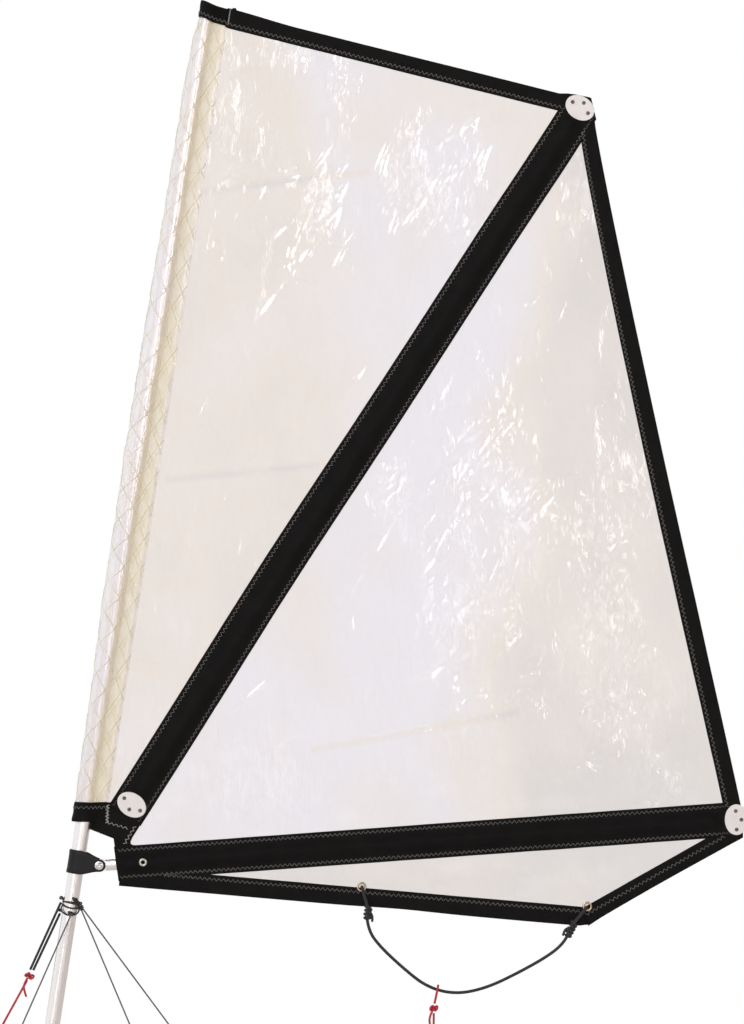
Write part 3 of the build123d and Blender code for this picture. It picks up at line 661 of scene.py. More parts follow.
BRIDLE = [(478, 0, 240), (480, 0, 222), (496, 0, 199), (530, 0, 167), (566, 0, 138), (608, 0, 127),
          (654, 0, 136), (704, 0, 160), (748, 0, 185), (770, 0, 204), (775, 0, 215)]
LOOP_FRONT = mirrored([(479.5, -3.2, 253.8), (477, -4.9, 264.5), (473, -5.0, 276.0), (470.5, -4.9, 286.0)])
LOOP_REAR = mirrored([(780.2, -3.2, 228.4), (786.8, -4.9, 236.2), (794.6, -5.0, 245.6), (803.2, -4.9, 256.2)])
KNOT_FRONT, KNOT_REAR = (479.5, 0, 247.2), (776.4, 0, 222.7)
SHEET_LOOP = mirrored([(577.9, -2.4, 113.6), (580.0, -4.5, 123.5), (582.2, -4.9, 133.5), (583.2, -2.9, 140.0)])
SHEET_LINE = [(576.8, 0, 99.2), (576.4, 0.4, 76), (577.2, 0, 52)]
SHEET_KNOT, SHEET_END = (577.0, 0, 106.5), (577.2, 0, 47.0)
SHEET_TAIL = [(575.0, -1.4, 103.6), (569.6, -4.2, 92.0), (571.4, -4.0, 82.5), (569.8, -3.2, 74.6)]
AFT_STAY_FAR = [(56.5, 6.5, 254.5), (186.0, 152.0, 66.0)]
AFT_STAY_NEAR = [(55.8, -6.5, 252.0), (142.5, -152.0, 66.0)]
FORE_STAY_NEAR = [(39.6, -16.0, 243.0), (-38.0, -78.0, 66.0)]
FORESTAY_UPPER = [(24.8, 5.9, 262.6), (-21.4, 29.0, 162.0)]
FORESTAY_LOWER = [(23.2, 13.8, 246.0), (-17.0, 32.5, 161.0)]
FORESTAY_KNOT = (-22.6, 32.4, 152.6)
FORESTAY_LINE = [(-26.4, 33.8, 145.7), (-70.5, 50.0, 66.0)]
FORESTAY_TAIL = [(-25.6, 31.2, 149.6), (-31.8, 27.6, 139.0), (-29.8, 26.8, 129.4), (-27.2, 27.4, 121.4)]
BRAID_STEP = 0.55 * MM


def strand(piece, line, diameter, sides=14, strands=4, radius=None):
    """Braided cord along a line."""
    tube(piece, line, diameter / 2 if radius is None else radius, sides, weave=(strands, diameter * 3.2, 0.045))


def braided(name, points, diameter, material, body, slot, node, strands=4, sides=20):
    """A braided cord along its route."""
    line, length = even(route(points), BRAID_STEP)
    piece = Piece()
    strand(piece, line, diameter, sides, strands)
    obj = piece.build(name, [material], body, slot, [node])
    path, _ = even(line, 4 * BRAID_STEP)
    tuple(line[0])


def knot_line(centre, axis, size, turn=0.0, squeeze=1.0):
    """Overhand knot: a trefoil round the axis, open at its ends."""
    axis = Vector(axis).normalized()
    x = axis.orthogonal().normalized()
    x.rotate(Matrix.Rotation(turn, 3, axis))
    y = axis.cross(x)
    t = np.linspace(0.25, 2 * math.pi + 0.05, 90)
    a = np.sin(t) + 2 * np.sin(2 * t)
    b = np.cos(t) - 2 * np.cos(2 * t)
    c = -np.sin(3 * t) * squeeze
    basis = np.stack([np.array(x), np.array(y), np.array(axis)])
    return np.array(centre) * MM + np.stack([a, b, c], -1) / 3 * size @ basis


def knot(piece, centre, axis, size, diameter, turn=0.0, squeeze=1.0):
    line, _ = even(knot_line(centre, axis, size, turn, squeeze), BRAID_STEP * 1.6)
    strand(piece, line, diameter)


def stub(piece, points, diameter):
    """Short cut end of a cord, pinched where it was cut."""
    line, length = even(route(points), BRAID_STEP)
    run = np.linspace(0, length, len(line))
    radius = diameter / 2 * (1 - 0.35 * smooth((run - length + 1.5 * MM) / (1.5 * MM)))
    strand(piece, line, diameter, radius=radius)


def hitch(piece, start, end, radius, diameter, turns, seed):
    """Several turns of a cord round the two strands of its loop."""
    start, end = np.array(start, float), np.array(end, float)
    axis = unit(end - start)
    x = np.cross(axis, [0, 1, 0])
    x /= np.linalg.norm(x)
    t = np.linspace(0, 1, int(turns * 40))
    phi = 2 * math.pi * turns * t + seed
    ends = smooth(t / 0.08) * smooth((1 - t) / 0.08)
    reach = (radius - diameter / MM * 0.35 * (1 - ends)) * (1 + 0.05 * np.sin(phi * 0.43 + seed))
    lean = 1.1 * np.sin(phi + 0.8)
    line = start + (end - start) * t[:, None] + axis * lean[:, None] \
        + reach[:, None] * (np.cos(phi)[:, None] * x + np.sin(phi)[:, None] * np.array([0, 1.0, 0]))
    line, _ = even(line * MM, BRAID_STEP * 1.6)
    strand(piece, line, diameter)
    core = [(start + (end - start) * k) * MM for k in (0.02, 0.3, 0.7, 0.98)]
    tube(piece, core, radius * MM * 0.86, 16)


def ring_hook(piece, points, radius=4.2 * MM, wire=1.1 * MM):
    """Small wire ring on a stay's lower end."""
    start, end = Vector(points[0]) * MM, Vector(points[-1]) * MM
    down = (end - start).normalized()
    centre = end + down * (radius + wire + 0.1 * MM)
    side = down.cross(Vector((0, 0, 1))).normalized()
    normal = down.cross(side)
    phi = np.linspace(0.35, 2 * math.pi + 0.6, 60)
    lift = np.linspace(-1, 1, 60) * wire
    points = [centre + down * (-radius * math.cos(a)) + normal * (radius * math.sin(a)) + side * z
              for a, z in zip(phi, lift)]
    tube(piece, [list(p) for p in points], wire * 0.9, 10, mat=1)


def bridle_parts():
    knots = Piece()
    hitch(knots, (480.6, 0, 258.5), (478.0, 0, 238.0), 4.1, BUNGEE, 3.6, 0.4)
    hitch(knots, (785.6, 0, 234.0), (774.4, 0, 213.0), 4.1, BUNGEE, 4.3, 1.2)
    x, _, z = KNOT_FRONT
    stub(knots, [(x + 3, -1.5, z + 2), (x + 6.2, -2.2, z - 3), (x + 6.6, -2.0, z - 9), (x + 6.0, -1.6, z - 13)],
         BUNGEE * 0.8)
    x, _, z = KNOT_REAR
    stub(knots, [(x - 1, -2.5, z + 2), (x - 4.0, -3.4, z + 1.5), (x - 7.0, -3.0, z - 3.0), (x - 8.6, -2.4, z - 9)],
         BUNGEE * 0.8)
    knots.build("bridle_knots_tied", [bungee_cover], "boom", "bungee", ["bridle_knots"])
    for name, points, node in (("front_grommet_loop", LOOP_FRONT, "bridle_loop_front"),
                               ("rear_grommet_loop", LOOP_REAR, "bridle_loop_rear")):
        braided(name, points, BUNGEE, bungee_cover, "boom", "bungee", node)
    braided("bridle_shock_cord", BRIDLE, BUNGEE, bungee_cover, "bridle", "bungee", "bridle_cord")


def sheet_parts():
    knots = Piece()
    knot(knots, SHEET_KNOT, (0.05, 0, 1), 5.6 * MM, SHEET_ROPE, 0.2, 1.7)
    knot(knots, SHEET_END, (0, 0, 1), 3.9 * MM, SHEET_ROPE * 0.9, 1.0, 1.2)
    stub(knots, SHEET_TAIL, SHEET_ROPE)
    knots = knots.build("sheet_knots_tied", [red_cover], "sheet", "red_rope", ["sheet_knots"])
    braided("sheet_bridle_loop", SHEET_LOOP, SHEET_ROPE, red_cover, "sheet", "red_rope", "sheet_loop", 3, 16)
    braided("sheet_rope", SHEET_LINE, SHEET_ROPE, red_cover, "sheet", "red_rope", "sheet_line", 3, 16)


def stay_parts():
    for name, points in (("aft_stay_far", AFT_STAY_FAR), ("aft_stay_near", AFT_STAY_NEAR),
                         ("fore_stay_near", FORE_STAY_NEAR)):
        ends = Piece()
        start, end = np.array(points[0]), np.array(points[-1])
        axis = unit(end - start)
        knot(ends, start - 2.6 * axis, axis, 2.5 * MM, STAY_ROPE * 0.8, 0.5, 1.4)
        knot(ends, end - 3.5 * axis, axis, 2.4 * MM, STAY_ROPE * 0.8, 0.1, 1.4)
        ring_hook(ends, points)
        ends = ends.build(name + "_fittings", [stay_cover, stainless], name, "stay_cord", [name + "_ends"])
        braided(name + "_cord", points, STAY_ROPE, stay_cover, name, "stay_cord", name + "_line", 3, 12)
    ends = Piece()
    axis = (0.42, -0.12, 0.9)
    knot(ends, FORESTAY_KNOT, axis, 6.6 * MM, SHEET_ROPE, 0.3, 1.2)
    stub(ends, FORESTAY_TAIL, SHEET_ROPE)
    down = unit(np.array(FORESTAY_LINE[-1]) - np.array(FORESTAY_LINE[0]))
    knot(ends, np.array(FORESTAY_LINE[-1]) - 4 * down, down, 3.4 * MM, SHEET_ROPE * 0.8, 0.1, 1.3)
    ring_hook(ends, FORESTAY_LINE)
    ends = ends.build("forestay_fittings", [red_cover, stainless], "forestay", "red_rope", ["forestay_ends"])
    for name, points, node in (("forestay_shock_cord_front", FORESTAY_UPPER, "forestay_cord_upper"),
                               ("forestay_shock_cord_rear", FORESTAY_LOWER, "forestay_cord_lower")):
        braided(name, points, FORESTAY_CORD, bungee_cover, "forestay", "bungee", node, 3, 14)
    braided("forestay_rope", FORESTAY_LINE, SHEET_ROPE, red_cover, "forestay", "red_rope", "forestay_line", 3, 16)


def collar():
    """Cord wound round the mast, knotted where each stay leaves it."""
    low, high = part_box("stay_collar")
    station = float(MAST.along @ np.array([(low.x + high.x) / 2, (low.z + high.z) / 2]))
    piece = Piece()
    cord, radius = 2.5 * MM, MAST_RADIUS + 1.45 * MM
    turns = ((3.6, 4.0, 0.0, 0.0), (1.2, -7.0, 0.8, 0.1), (-7.0, 35.0, math.pi / 2, 1.3), (-2.5, 12.0, 1.9, 0.2))
    for lift, tip, lean, ease in turns:
        phi = np.linspace(0, 2 * math.pi, 96)
        slack = radius + ease * MM * (0.5 - 0.5 * np.cos(phi - lean))
        height = station + lift * MM + radius * math.tan(math.radians(tip)) * np.cos(phi - lean)
        points = [MAST.point(h, r * math.cos(a), r * math.sin(a)) for h, a, r in zip(height, phi, slack)]
        strand(piece, [list(p) for p in points], cord, 12, 3)
    knots = (((27.6, 3.0, 269.0), 4.2), ((46.5, -12.2, 268.0), 4.2), ((51.6, -8.5, 262.5), 4.6),
             ((55.2, -7.0, 255.2), 4.2), ((39.8, -14.6, 247.6), 4.4), ((24.5, 13.0, 250.5), 3.4))
    for number, (centre, size) in enumerate(knots):
        knot(piece, centre, (0.3, 0.2, 1), size * MM, cord * 0.95, number * 1.3, 1.2)
    piece.build("stay_collar_wound", [collar_cover], "mast", "stay_cord", ["stay_collar"])


# ---------------------------------------------------------------- stitching
def zigzag_on(piece, length, place, mat=1, pitch=STITCH_PITCH, reach=STITCH_REACH, seed=1):
    """Zigzag row of thread. place(distance, sway, lift) gives a point of the sewn surface."""
    count = max(2, int(round(length / (pitch / 2))))
    rng = random.Random(seed)
    line = []
    for k in range(count + 1):
        at, sway = length * k / count, reach * (1 if k % 2 else -1) * rng.uniform(0.86, 1.1)
        if line:
            line.append(place(at - length / count / 2, (last + sway) / 2, THREAD * 1.0))
        line.append(place(at, sway, -THREAD * 0.9))
        last = sway
    tube(piece, np.array([tuple(p) for p in line]), THREAD, 5, mat)


# ---------------------------------------------------------------- tapes
def wobble(x, z, seed, scale=9.0):
    return ripple(x * scale, seed, z * scale)


TAPE_PROFILE = ((0.0, 0.35), (0.012, 0.75), (0.045, 1.0), (0.25, 1.08), (0.5, 1.0),
                (0.72, 0.86), (0.8, 0.97), (0.965, 0.95), (1.0, 0.4))  # shares of the width and of the thickness


def tape(piece, outer, inner, half=TAPE_HALF, step=5 * MM, seed=0.0, ease=0.6 * MM, under=None,
         bow=None, inner_bow=None):
    """Folded tape between an outer and an inner edge line, each a pair of sail points.

    Where the line under lies across it, the tape ends there. bow and inner_bow give how far the two
    edges lie inwards of their lines, at a share of the length."""
    length = np.linalg.norm(outer[1] - outer[0])
    count = max(3, int(length / step))
    rings = []
    for t in np.linspace(0, 1, count + 1):
        o = outer[0] + (outer[1] - outer[0]) * t
        i = inner[0] + (inner[1] - inner[0]) * t
        if under is not None:
            cut = meet(o, i, *under)
            i = cut if np.linalg.norm(cut - o) < np.linalg.norm(i - o) else i
        w = float(np.linalg.norm(i - o))
        d = (i - o) / w
        o = o + d * ease * (0.5 + 0.5 * wobble(*o, seed)) + d * (bow(t) if bow else 0)
        i = i - d * 0.35 * MM * wobble(*i, seed + 3, 14.0) + d * (inner_bow(t) if inner_bow else 0)
        rise = 0.5 * MM * wobble(*o, seed + 7, 7.0)
        ring = []
        for face, profile in ((-half, TAPE_PROFILE), (half, TAPE_PROFILE[::-1])):
            for share, thick in profile:
                x, z = o + (i - o) * share
                ring.append((x, face * thick + rise, z))
        rings.append(ring)
    loft(piece, rings)


def both_sides(piece, p, q, half, bow=None, **more):
    """The same row of thread on the near and the far face."""
    length = np.linalg.norm(q - p)
    along = (q - p) / length
    side = right_of(along)
    for y in (-half, half):
        def place(at, sway, lift):
            x, z = p + along * at + side * (sway + (bow(at / length) if bow else 0))
            return x, y + math.copysign(lift, y), z

        zigzag_on(piece, length, place, **more)


def between(outer, inner, share):
    return outer[0] + (inner[0] - outer[0]) * share, outer[1] + (inner[1] - outer[1]) * share


def leech_hollow(t):
    """How far the leech lies inside its straight line, at a share of its length from the peak."""
    t = np.clip(t, 0, 1)
    return 19.5 * MM * t ** 0.5 * (1 - t) ** 1.5


def head_rise(t):
    return -3.6 * MM * (1 - smooth(t * 4.6))


def head_and_leech_tapes():
    seam = MAST.line(LUFF_FLAP - 3 * MM)
    front = SPRIT.line(-SPRIT_SLEEVE / 2 + LAP)
    aft = SPRIT.line(SPRIT_SLEEVE / 2 - LAP)
    top = BOOM.line(-BOOM_SLEEVE / 2 + LAP)
    made = []
    jobs = (("head_binding", (HEAD_FRONT, PEAK_CORNER), seam, front, ("luff", "sprit", LUFF_FAN), "head_tape",
             0.76, head_rise, None),
            ("leech_binding", (PEAK_CORNER, LEECH_END), aft, top, ("sprit", "boom", LEECH_FAN), "leech_tape",
             0.78, leech_hollow, lambda t: leech_hollow(t) + 1.4 * MM * np.sin(math.pi * np.clip(t, 0, 1))))
    for name, edge, start, end, (a, b, lines), node, row, bow, inner_bow in jobs:
        inner_line = inset(*edge, TAPE)
        outer = (meet(*edge, *start), meet(*edge, *end))
        inner = (meet(*inner_line, *start), meet(*inner_line, *end))
        piece = Piece()
        tape(piece, outer, inner, seed=len(made) * 11.0, bow=bow, inner_bow=inner_bow)
        p, q = between(outer, inner, row)
        both_sides(piece, p, q, TAPE_HALF * 0.98, bow=inner_bow)
        obj = piece.build(name, [black_fabric, thread], slot="black_fabric", replaces=[node])
        fan(obj, a, b, lines)
        made.append(obj)
    return made


def foot_tapes():
    under = BOOM.line(BOOM_SLEEVE / 2 - LAP)
    front_edge, rear_edge = (FOOT_CORNER, FOOT_FRONT), (CLEW_LOW, FOOT_CORNER)
    front_inner, rear_inner = inset(*front_edge, TAPE), inset(*rear_edge, TAPE)
    mitre = meet(*front_inner, *rear_inner)
    made = []
    outer = (FOOT_CORNER, FOOT_FRONT)
    inner = (mitre, FOOT_FRONT + right_of(unit(FOOT_FRONT - FOOT_CORNER)) * TAPE)
    piece = Piece()
    tape(piece, outer, inner, seed=31.0, under=under,
         bow=lambda t: -2.6 * MM * smooth(t * 45) * (1 - 0.6 * math.exp(-((t - 0.4) / 0.1) ** 2)))
    p, q = between(outer, inner, 0.74)
    q = meet(p, q, *under)
    both_sides(piece, p, q, TAPE_HALF * 0.98)
    made.append(piece.build("foot_binding", [black_fabric, thread], "boom", "black_fabric", ["foot_tape"]))
    outer = (CLEW_LOW, FOOT_CORNER + (FOOT_CORNER - mitre) * 0.02)
    inner = (meet(*rear_inner, *under), mitre)
    piece = Piece()
    tape(piece, outer, inner, half=TAPE_HALF * 1.12, seed=47.0,
         bow=lambda t: 1.2 * MM * math.sin(math.pi * t) - 1.0 * MM * smooth((t - 0.9) * 10))
    p, q = between(outer, inner, 0.58)
    both_sides(piece, p, q, TAPE_HALF * 1.1)
    cutout(piece, [BOOM.at(BOOM.length - 16 * MM, BOOM_SLEEVE / 2 - 6 * MM), CLEW_LOW + (CLEW_AFT - CLEW_LOW) * 0.3,
                   CLEW_LOW, CLEW_LOW + (FOOT_CORNER - CLEW_LOW) * 0.05], TAPE_HALF)
    made.append(piece.build("rear_foot_binding", [black_fabric, thread], "boom", "black_fabric",
                            ["foot_tape_rear"]))
    return made


# ---------------------------------------------------------------- spar sleeves
def sleeve(piece, spar, width, crest, starts, ends, shut, seed, lie, step=4 * MM):
    """Flat sewn sleeve over a spar. starts and ends give the end station at each side, and
    lie(station) gives how wide the fabric is there, as a share, and how far it lies aside."""
    half = width / 2
    channel = half - FLANGE
    sides = [-1.0, -0.985, -0.93, -0.84, -0.76, -0.71, -0.64, -0.55, -0.45, -0.35, -0.25, -0.15, -0.06]
    sides = np.array(sides + [0.04] + [-s for s in sides[::-1]][1:]) * half
    low = np.array([starts(s) for s in sides])
    high = np.array([ends(s) for s in sides])
    count = int(np.mean(high - low) / step)
    rings = []
    for t in np.linspace(0, 1, count + 1):
        station = low + (high - low) * t
        swell = smooth((station - shut[0][0]) / (shut[0][1] - shut[0][0]))
        swell = swell * smooth((shut[1][0] - station) / (shut[1][0] - shut[1][1]))
        front, back = [], []
        for s, x, open_share in zip(station, sides, swell):
            body = 0.5 + 0.5 * math.cos(math.pi * min(1.0, abs(x) / channel))
            thick = FLANGE_HALF + (PATCH_HALF - FLANGE_HALF) * (1 - open_share)
            full = thick + (crest - thick) * body * open_share
            rim = 1.0 - 0.55 * smooth((abs(x) / half - 0.955) / 0.045)
            slack = 0.9 * MM * body * open_share
            for face, target in ((-1, front), (1, back)):
                fold = ripple(s * 26, x * 60 + face * 5, seed)
                pucker = math.sin(s / (STITCH_PITCH * 1.02) * 2 * math.pi) * 0.16 * MM
                pucker *= math.exp(-((abs(x) - channel - 1 * MM) / (3.4 * MM)) ** 2)
                y = full * rim + slack * max(fold, -0.25) + pucker
                edge = 0.45 * MM * ripple(s * 11, face, seed + 9) * (abs(x) / half) ** 8
                wide, aside = lie(s)
                aside *= abs(x) / half
                target.append(tuple(spar.point(s, x * wide + math.copysign(edge, x) + aside, face * y)))
        rings.append(front + back[::-1])
    loft(piece, rings)


def sleeve_rows(piece, spar, width, stations, seed, lie):
    for x in (-width / 2 + FLANGE * 0.72, width / 2 - FLANGE * 0.72):
        for face in (-1, 1):
            def place(at, sway, lift):
                wide, aside = lie(stations[0] + at)
                return spar.point(stations[0] + at, x * wide + aside + sway, face * (FLANGE_HALF + 0.1 * MM + lift))

            zigzag_on(piece, stations[1] - stations[0], place, seed=seed)


def sprit_lie(station):
    """The diagonal's sleeve hangs a little forward in its lower half, where it's also wider."""
    t = station / SPRIT.length
    aside = -3.6 * math.exp(-((t - 0.33) / 0.19) ** 2) + 2.0 * smooth((t - 0.8) / 0.15)
    return 1.02 + 0.022 * smooth((0.75 - t) / 0.3), aside * MM


SPRIT_SHUT = 15.5 * MM, 24.0 * MM  # stations, from each end, where the channel opens fully
BOOM_SHUT = 17.0 * MM, 31.0 * MM


def sprit_sleeve():
    head, leech = (HEAD_FRONT, PEAK_CORNER), (PEAK_CORNER, LEECH_END)

    def top(side):
        return min(SPRIT.station_where(side, *head), SPRIT.station_where(side, *leech)) - 0.4 * MM

    piece = Piece()
    shut = ((SPRIT_SHUT[0], SPRIT_SHUT[1]), (SPRIT.length - SPRIT_SHUT[0], SPRIT.length - SPRIT_SHUT[1]))
    sleeve(piece, SPRIT, SPRIT_SLEEVE, SPRIT_CREST, lambda side: -20 * MM, top, shut, 5.0, sprit_lie)
    sleeve_rows(piece, SPRIT, SPRIT_SLEEVE, (-16 * MM, SPRIT.length + 2 * MM), 5, sprit_lie)
    corner = np.array([(756, 1460), (775.2, 1459.9), (786.9, 1458.4), (807.6, 1454.2), (810.0, 1452.6),
                       (812.2, 1442.4), (813.8, 1430), (816.4, 1408), (797, 1408), (768, 1447)]) * MM
    cutout(piece, corner, 1.1 * MM)
    obj = piece.build("diagonal_sleeve", [black_fabric, thread], "sprit", "black_fabric", ["sprit_sleeve"])
    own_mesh(obj)


def boom_sleeve():
    aft = (LEECH_END, CLEW_AFT)
    low = (CLEW_AFT, CLEW_LOW)

    def end(side):
        return min(BOOM.station_where(side, *aft), BOOM.station_where(side, *low)) - 0.4 * MM

    piece = Piece()
    shut = ((-9.0, -8.0), (BOOM.length - BOOM_SHUT[0], BOOM.length - BOOM_SHUT[1]))
    sleeve(piece, BOOM, BOOM_SLEEVE, BOOM_CREST, lambda side: (25 + 3.2 * side / BOOM_SLEEVE) * MM, end, shut, 8.0,
           lambda station: (1.0, 0.0))
    sleeve_rows(piece, BOOM, BOOM_SLEEVE, (29 * MM, BOOM.length + 8 * MM), 8, lambda station: (1.0, 0.0))
    obj = piece.build("boom_cover", [black_fabric, thread], slot="black_fabric", replaces=["boom_sleeve"])
    blended(obj, "sprit", "boom", gather_share)


# ---------------------------------------------------------------- film
def crease_set(seed, count, x_range, z_range, heading, turn, length, depth):
    rng = random.Random(seed)
    found = []
    for _ in range(count):
        angle = math.radians(rng.gauss(heading, turn))
        found.append((rng.uniform(*x_range), rng.uniform(*z_range), math.cos(angle), math.sin(angle),
                      rng.uniform(*length), rng.uniform(2.5, 6.0) * MM,
                      rng.choice((-1, 1)) * rng.uniform(*depth) * MM))
    return found


CREASES = (
    crease_set(1, 90, (0.15, 0.95), (0.45, 1.50), 58, 22, (0.05, 0.20), (0.4, 1.0))
    + crease_set(2, 40, (0.36, 0.46), (1.20, 1.38), 52, 18, (0.03, 0.10), (0.8, 1.8))
    + crease_set(3, 40, (0.50, 0.66), (1.22, 1.42), 55, 12, (0.04, 0.14), (0.8, 1.8))
    + crease_set(4, 130, (0.57, 0.74), (0.55, 0.98), 60, 20, (0.03, 0.14), (0.8, 1.9))
    + crease_set(5, 90, (0.78, 0.93), (0.46, 0.86), 70, 30, (0.02, 0.08), (0.7, 1.6))
    + crease_set(6, 16, (0.47, 0.53), (0.85, 0.93), 60, 16, (0.03, 0.08), (0.8, 1.5))
    + crease_set(7, 40, (0.20, 0.34), (1.15, 1.52), 30, 40, (0.03, 0.09), (0.5, 1.3))
    + crease_set(8, 28, (0.76, 0.86), (1.18, 1.36), 100, 20, (0.03, 0.10), (0.7, 1.5))
    + [(0.30, 0.905, 0.999, 0.03, 0.26, 4 * MM, 1.0 * MM), (0.36, 1.335, 0.998, -0.05, 0.26, 4 * MM, 0.8 * MM),
       (0.55, 0.517, 0.985, 0.175, 0.32, 4 * MM, 1.2 * MM), (0.47, 0.75, 0.52, 0.854, 0.3, 5 * MM, 1.2 * MM)]
)
# Old folds across the film, from one end to the other
FOLDS = (((0.179, 0.888), (0.408, 0.910)), ((0.231, 1.314), (0.482, 1.344)), ((0.394, 0.488), (0.704, 0.545)))
# Where the film is most creased: centre, half size, share
CRUMPLED = ((0.57, 1.33, 0.065, 0.08, 0.9), (0.80, 1.32, 0.035, 0.06, 0.8), (0.645, 0.76, 0.08, 0.2, 1.0),
            (0.85, 0.56, 0.10, 0.12, 1.0), (0.40, 1.30, 0.03, 0.06, 1.0), (0.51, 0.89, 0.03, 0.05, 0.9),
            (0.24, 1.42, 0.07, 0.14, 0.55), (0.83, 0.80, 0.06, 0.15, 0.7), (0.28, 0.46, 0.10, 0.05, 0.5),
            (0.955, 0.44, 0.02, 0.05, 0.9), (0.90, 0.45, 0.03, 0.035, 0.9), (0.34, 1.52, 0.06, 0.025, 0.8),
            (0.45, 1.47, 0.03, 0.06, 0.7), (0.30, 0.60, 0.05, 0.12, 0.35))


def crumple(x, z):
    total = np.zeros(len(x))
    for cx, cz, half_x, half_z, share in CRUMPLED:
        total += share * np.exp(-((x - cx) / half_x) ** 2 - ((z - cz) / half_z) ** 2)
    patchy = np.array([ripple(a * 16, 1.0, b * 11) for a, b in zip(x, z)])
    return np.clip(total * (0.75 + 0.9 * patchy), 0, 1)


def film_height(x, z):
    """How far a film point stands out of the sail plane."""
    height = np.zeros(len(x))
    for cx, cz, dx, dz, length, width, depth in CREASES:
        along = (x - cx) * dx + (z - cz) * dz
        across = (x - cx) * dz - (z - cz) * dx
        near = np.nonzero((np.abs(along) < length / 2) & (np.abs(across) < width * 3))[0]
        if not len(near):
            continue
        taper = 1 - smooth(np.abs(along[near]) / (length / 2))
        bend = np.abs(across[near] + 0.06 * along[near] ** 2 / length)
        broken = np.array([max(0.0, 0.5 + 1.6 * ripple(x[k] * 24, cx * 50, z[k] * 24)) for k in near])
        height[near] += depth * taper * broken * np.maximum(0, 1 - bend / width)
    grain = np.array([ripple(a * 9, 0.3, b * 6) * 1.6
                      + ripple(a * 34 + b * 12, 2.7, b * 20 - a * 9) * 0.55
                      + ripple(a * 90 + b * 40, 5.1, b * 60 - a * 30) * 0.22
                      for a, b in zip(x, z)])
    rough = np.array([ripple(a * 70 + b * 30, 6.1, b * 44 - a * 26) for a, b in zip(x, z)])
    return height + (grain + 1.5 * crumple(x, z) * np.abs(rough)) * MM


def film_tint(x, z, beige):
    """0 lavender, 1 cream. The edges between them wander, and old folds show as cream lines."""
    folds = np.zeros(len(x))
    for (ax, az), (bx, bz) in FOLDS:
        reach = math.hypot(bx - ax, bz - az)
        along = ((x - ax) * (bx - ax) + (z - az) * (bz - az)) / reach
        across = ((x - ax) * (bz - az) - (z - az) * (bx - ax)) / reach
        folds += np.where((along > 0) & (along < reach), 0.34 * np.exp(-(across / (6 * MM)) ** 2), 0)
    sway = np.array([[ripple(a * 5 + k, 3.0, b * 3.6 - k) * 0.11
                      + ripple(a * 15 - k, 5.0, b * 11 + k) * 0.04 for a, b in zip(x, z)]
                     for k in (0.0, 7.3)])
    patches = np.array([ripple(a * 4.2, 8.0, b * 2.6) for a, b in zip(x, z)])
    fine = np.array([ripple(a * 13 + b * 5, 4.0, b * 8 - a * 4) for a, b in zip(x, z)])
    return np.clip(0.32 * patches + 0.22 * fine + folds + beige(x + sway[0], z + sway[1]), 0, 1)


def panel(name, node, corner_grid, shape, edges, beige, body=None):
    """Film between its corners. edges are lines (p, q, reach) near which it is held flat."""
    u, v = np.meshgrid(np.linspace(0, 1, shape[0]), np.linspace(0, 1, shape[1]))
    p = corner_grid(u.ravel(), v.ravel())
    x, z = p[:, 0], p[:, 1]
    free = np.ones(len(x))
    for a, b, reach in edges:
        d = unit(b - a)
        away = np.abs((x - a[0]) * d[1] - (z - a[1]) * d[0])
        free *= smooth((away - reach) / (40 * MM)) * 0.93 + 0.07 * smooth((away - reach + 14 * MM) / (14 * MM))
    y = film_height(x, z) * free
    n, m = shape[1], shape[0]
    i, j = np.arange(n - 1)[:, None], np.arange(m - 1)[None, :]
    quads = np.stack([i * m + j, i * m + j + 1, (i + 1) * m + j + 1, (i + 1) * m + j], -1).reshape(-1, 4)
    uv = np.stack([x, z], -1)[quads].reshape(-1, 2)
    piece = Piece()
    piece.add(np.stack([x, y, z], -1), [quads], [uv])
    obj = piece.build(name, [panel_film], body, "film", [node])
    mark(obj, tint=film_tint(x, z, beige), crinkle=crumple(x, z))
    return obj


def mark(obj, **values):
    """Writes a number per vertex under each name."""
    for label, numbers in values.items():
        obj.data.attributes.new(label, "FLOAT", "POINT").data.foreach_set("value", numbers.astype(np.float32))


def lerp(a, b, t):
    return a + (b - a) * t[:, None]


def stretched(corners):
    """Works out the size of the rectangle round these corners."""
    corners = [np.array(c) for c in corners]
    xs, zs = [c[0] for c in corners], [c[1] for c in corners]
    size = (max(xs) - min(xs), max(zs) - min(zs))


def luff_film():
    seam = MAST.line(LUFF_FLAP - 5 * MM)
    front = SPRIT.line(-SPRIT_SLEEVE / 2 + TUCK)
    head = inset(HEAD_FRONT, PEAK_CORNER, 2 * MM)
    low, high, far = meet(*seam, *front), meet(*seam, *head), meet(*front, *head)

    def grid(u, v):
        return low + (lerp(high, far, u) - low) * v[:, None]

    def beige(x, z):
        return 0.16 + 0.36 * smooth((0.50 - x) / 0.18) + 0.3 * smooth((x - 0.58) / 0.14) * smooth((1.5 - z) / 0.1)

    obj = panel("luff_film", "luff_panel", grid, (150, 300),
                [(*seam, 6 * MM), (*front, TUCK), (*head, TAPE)], beige)
    fan(obj, "luff", "sprit", LUFF_FAN)
    stretched([low, high, far])


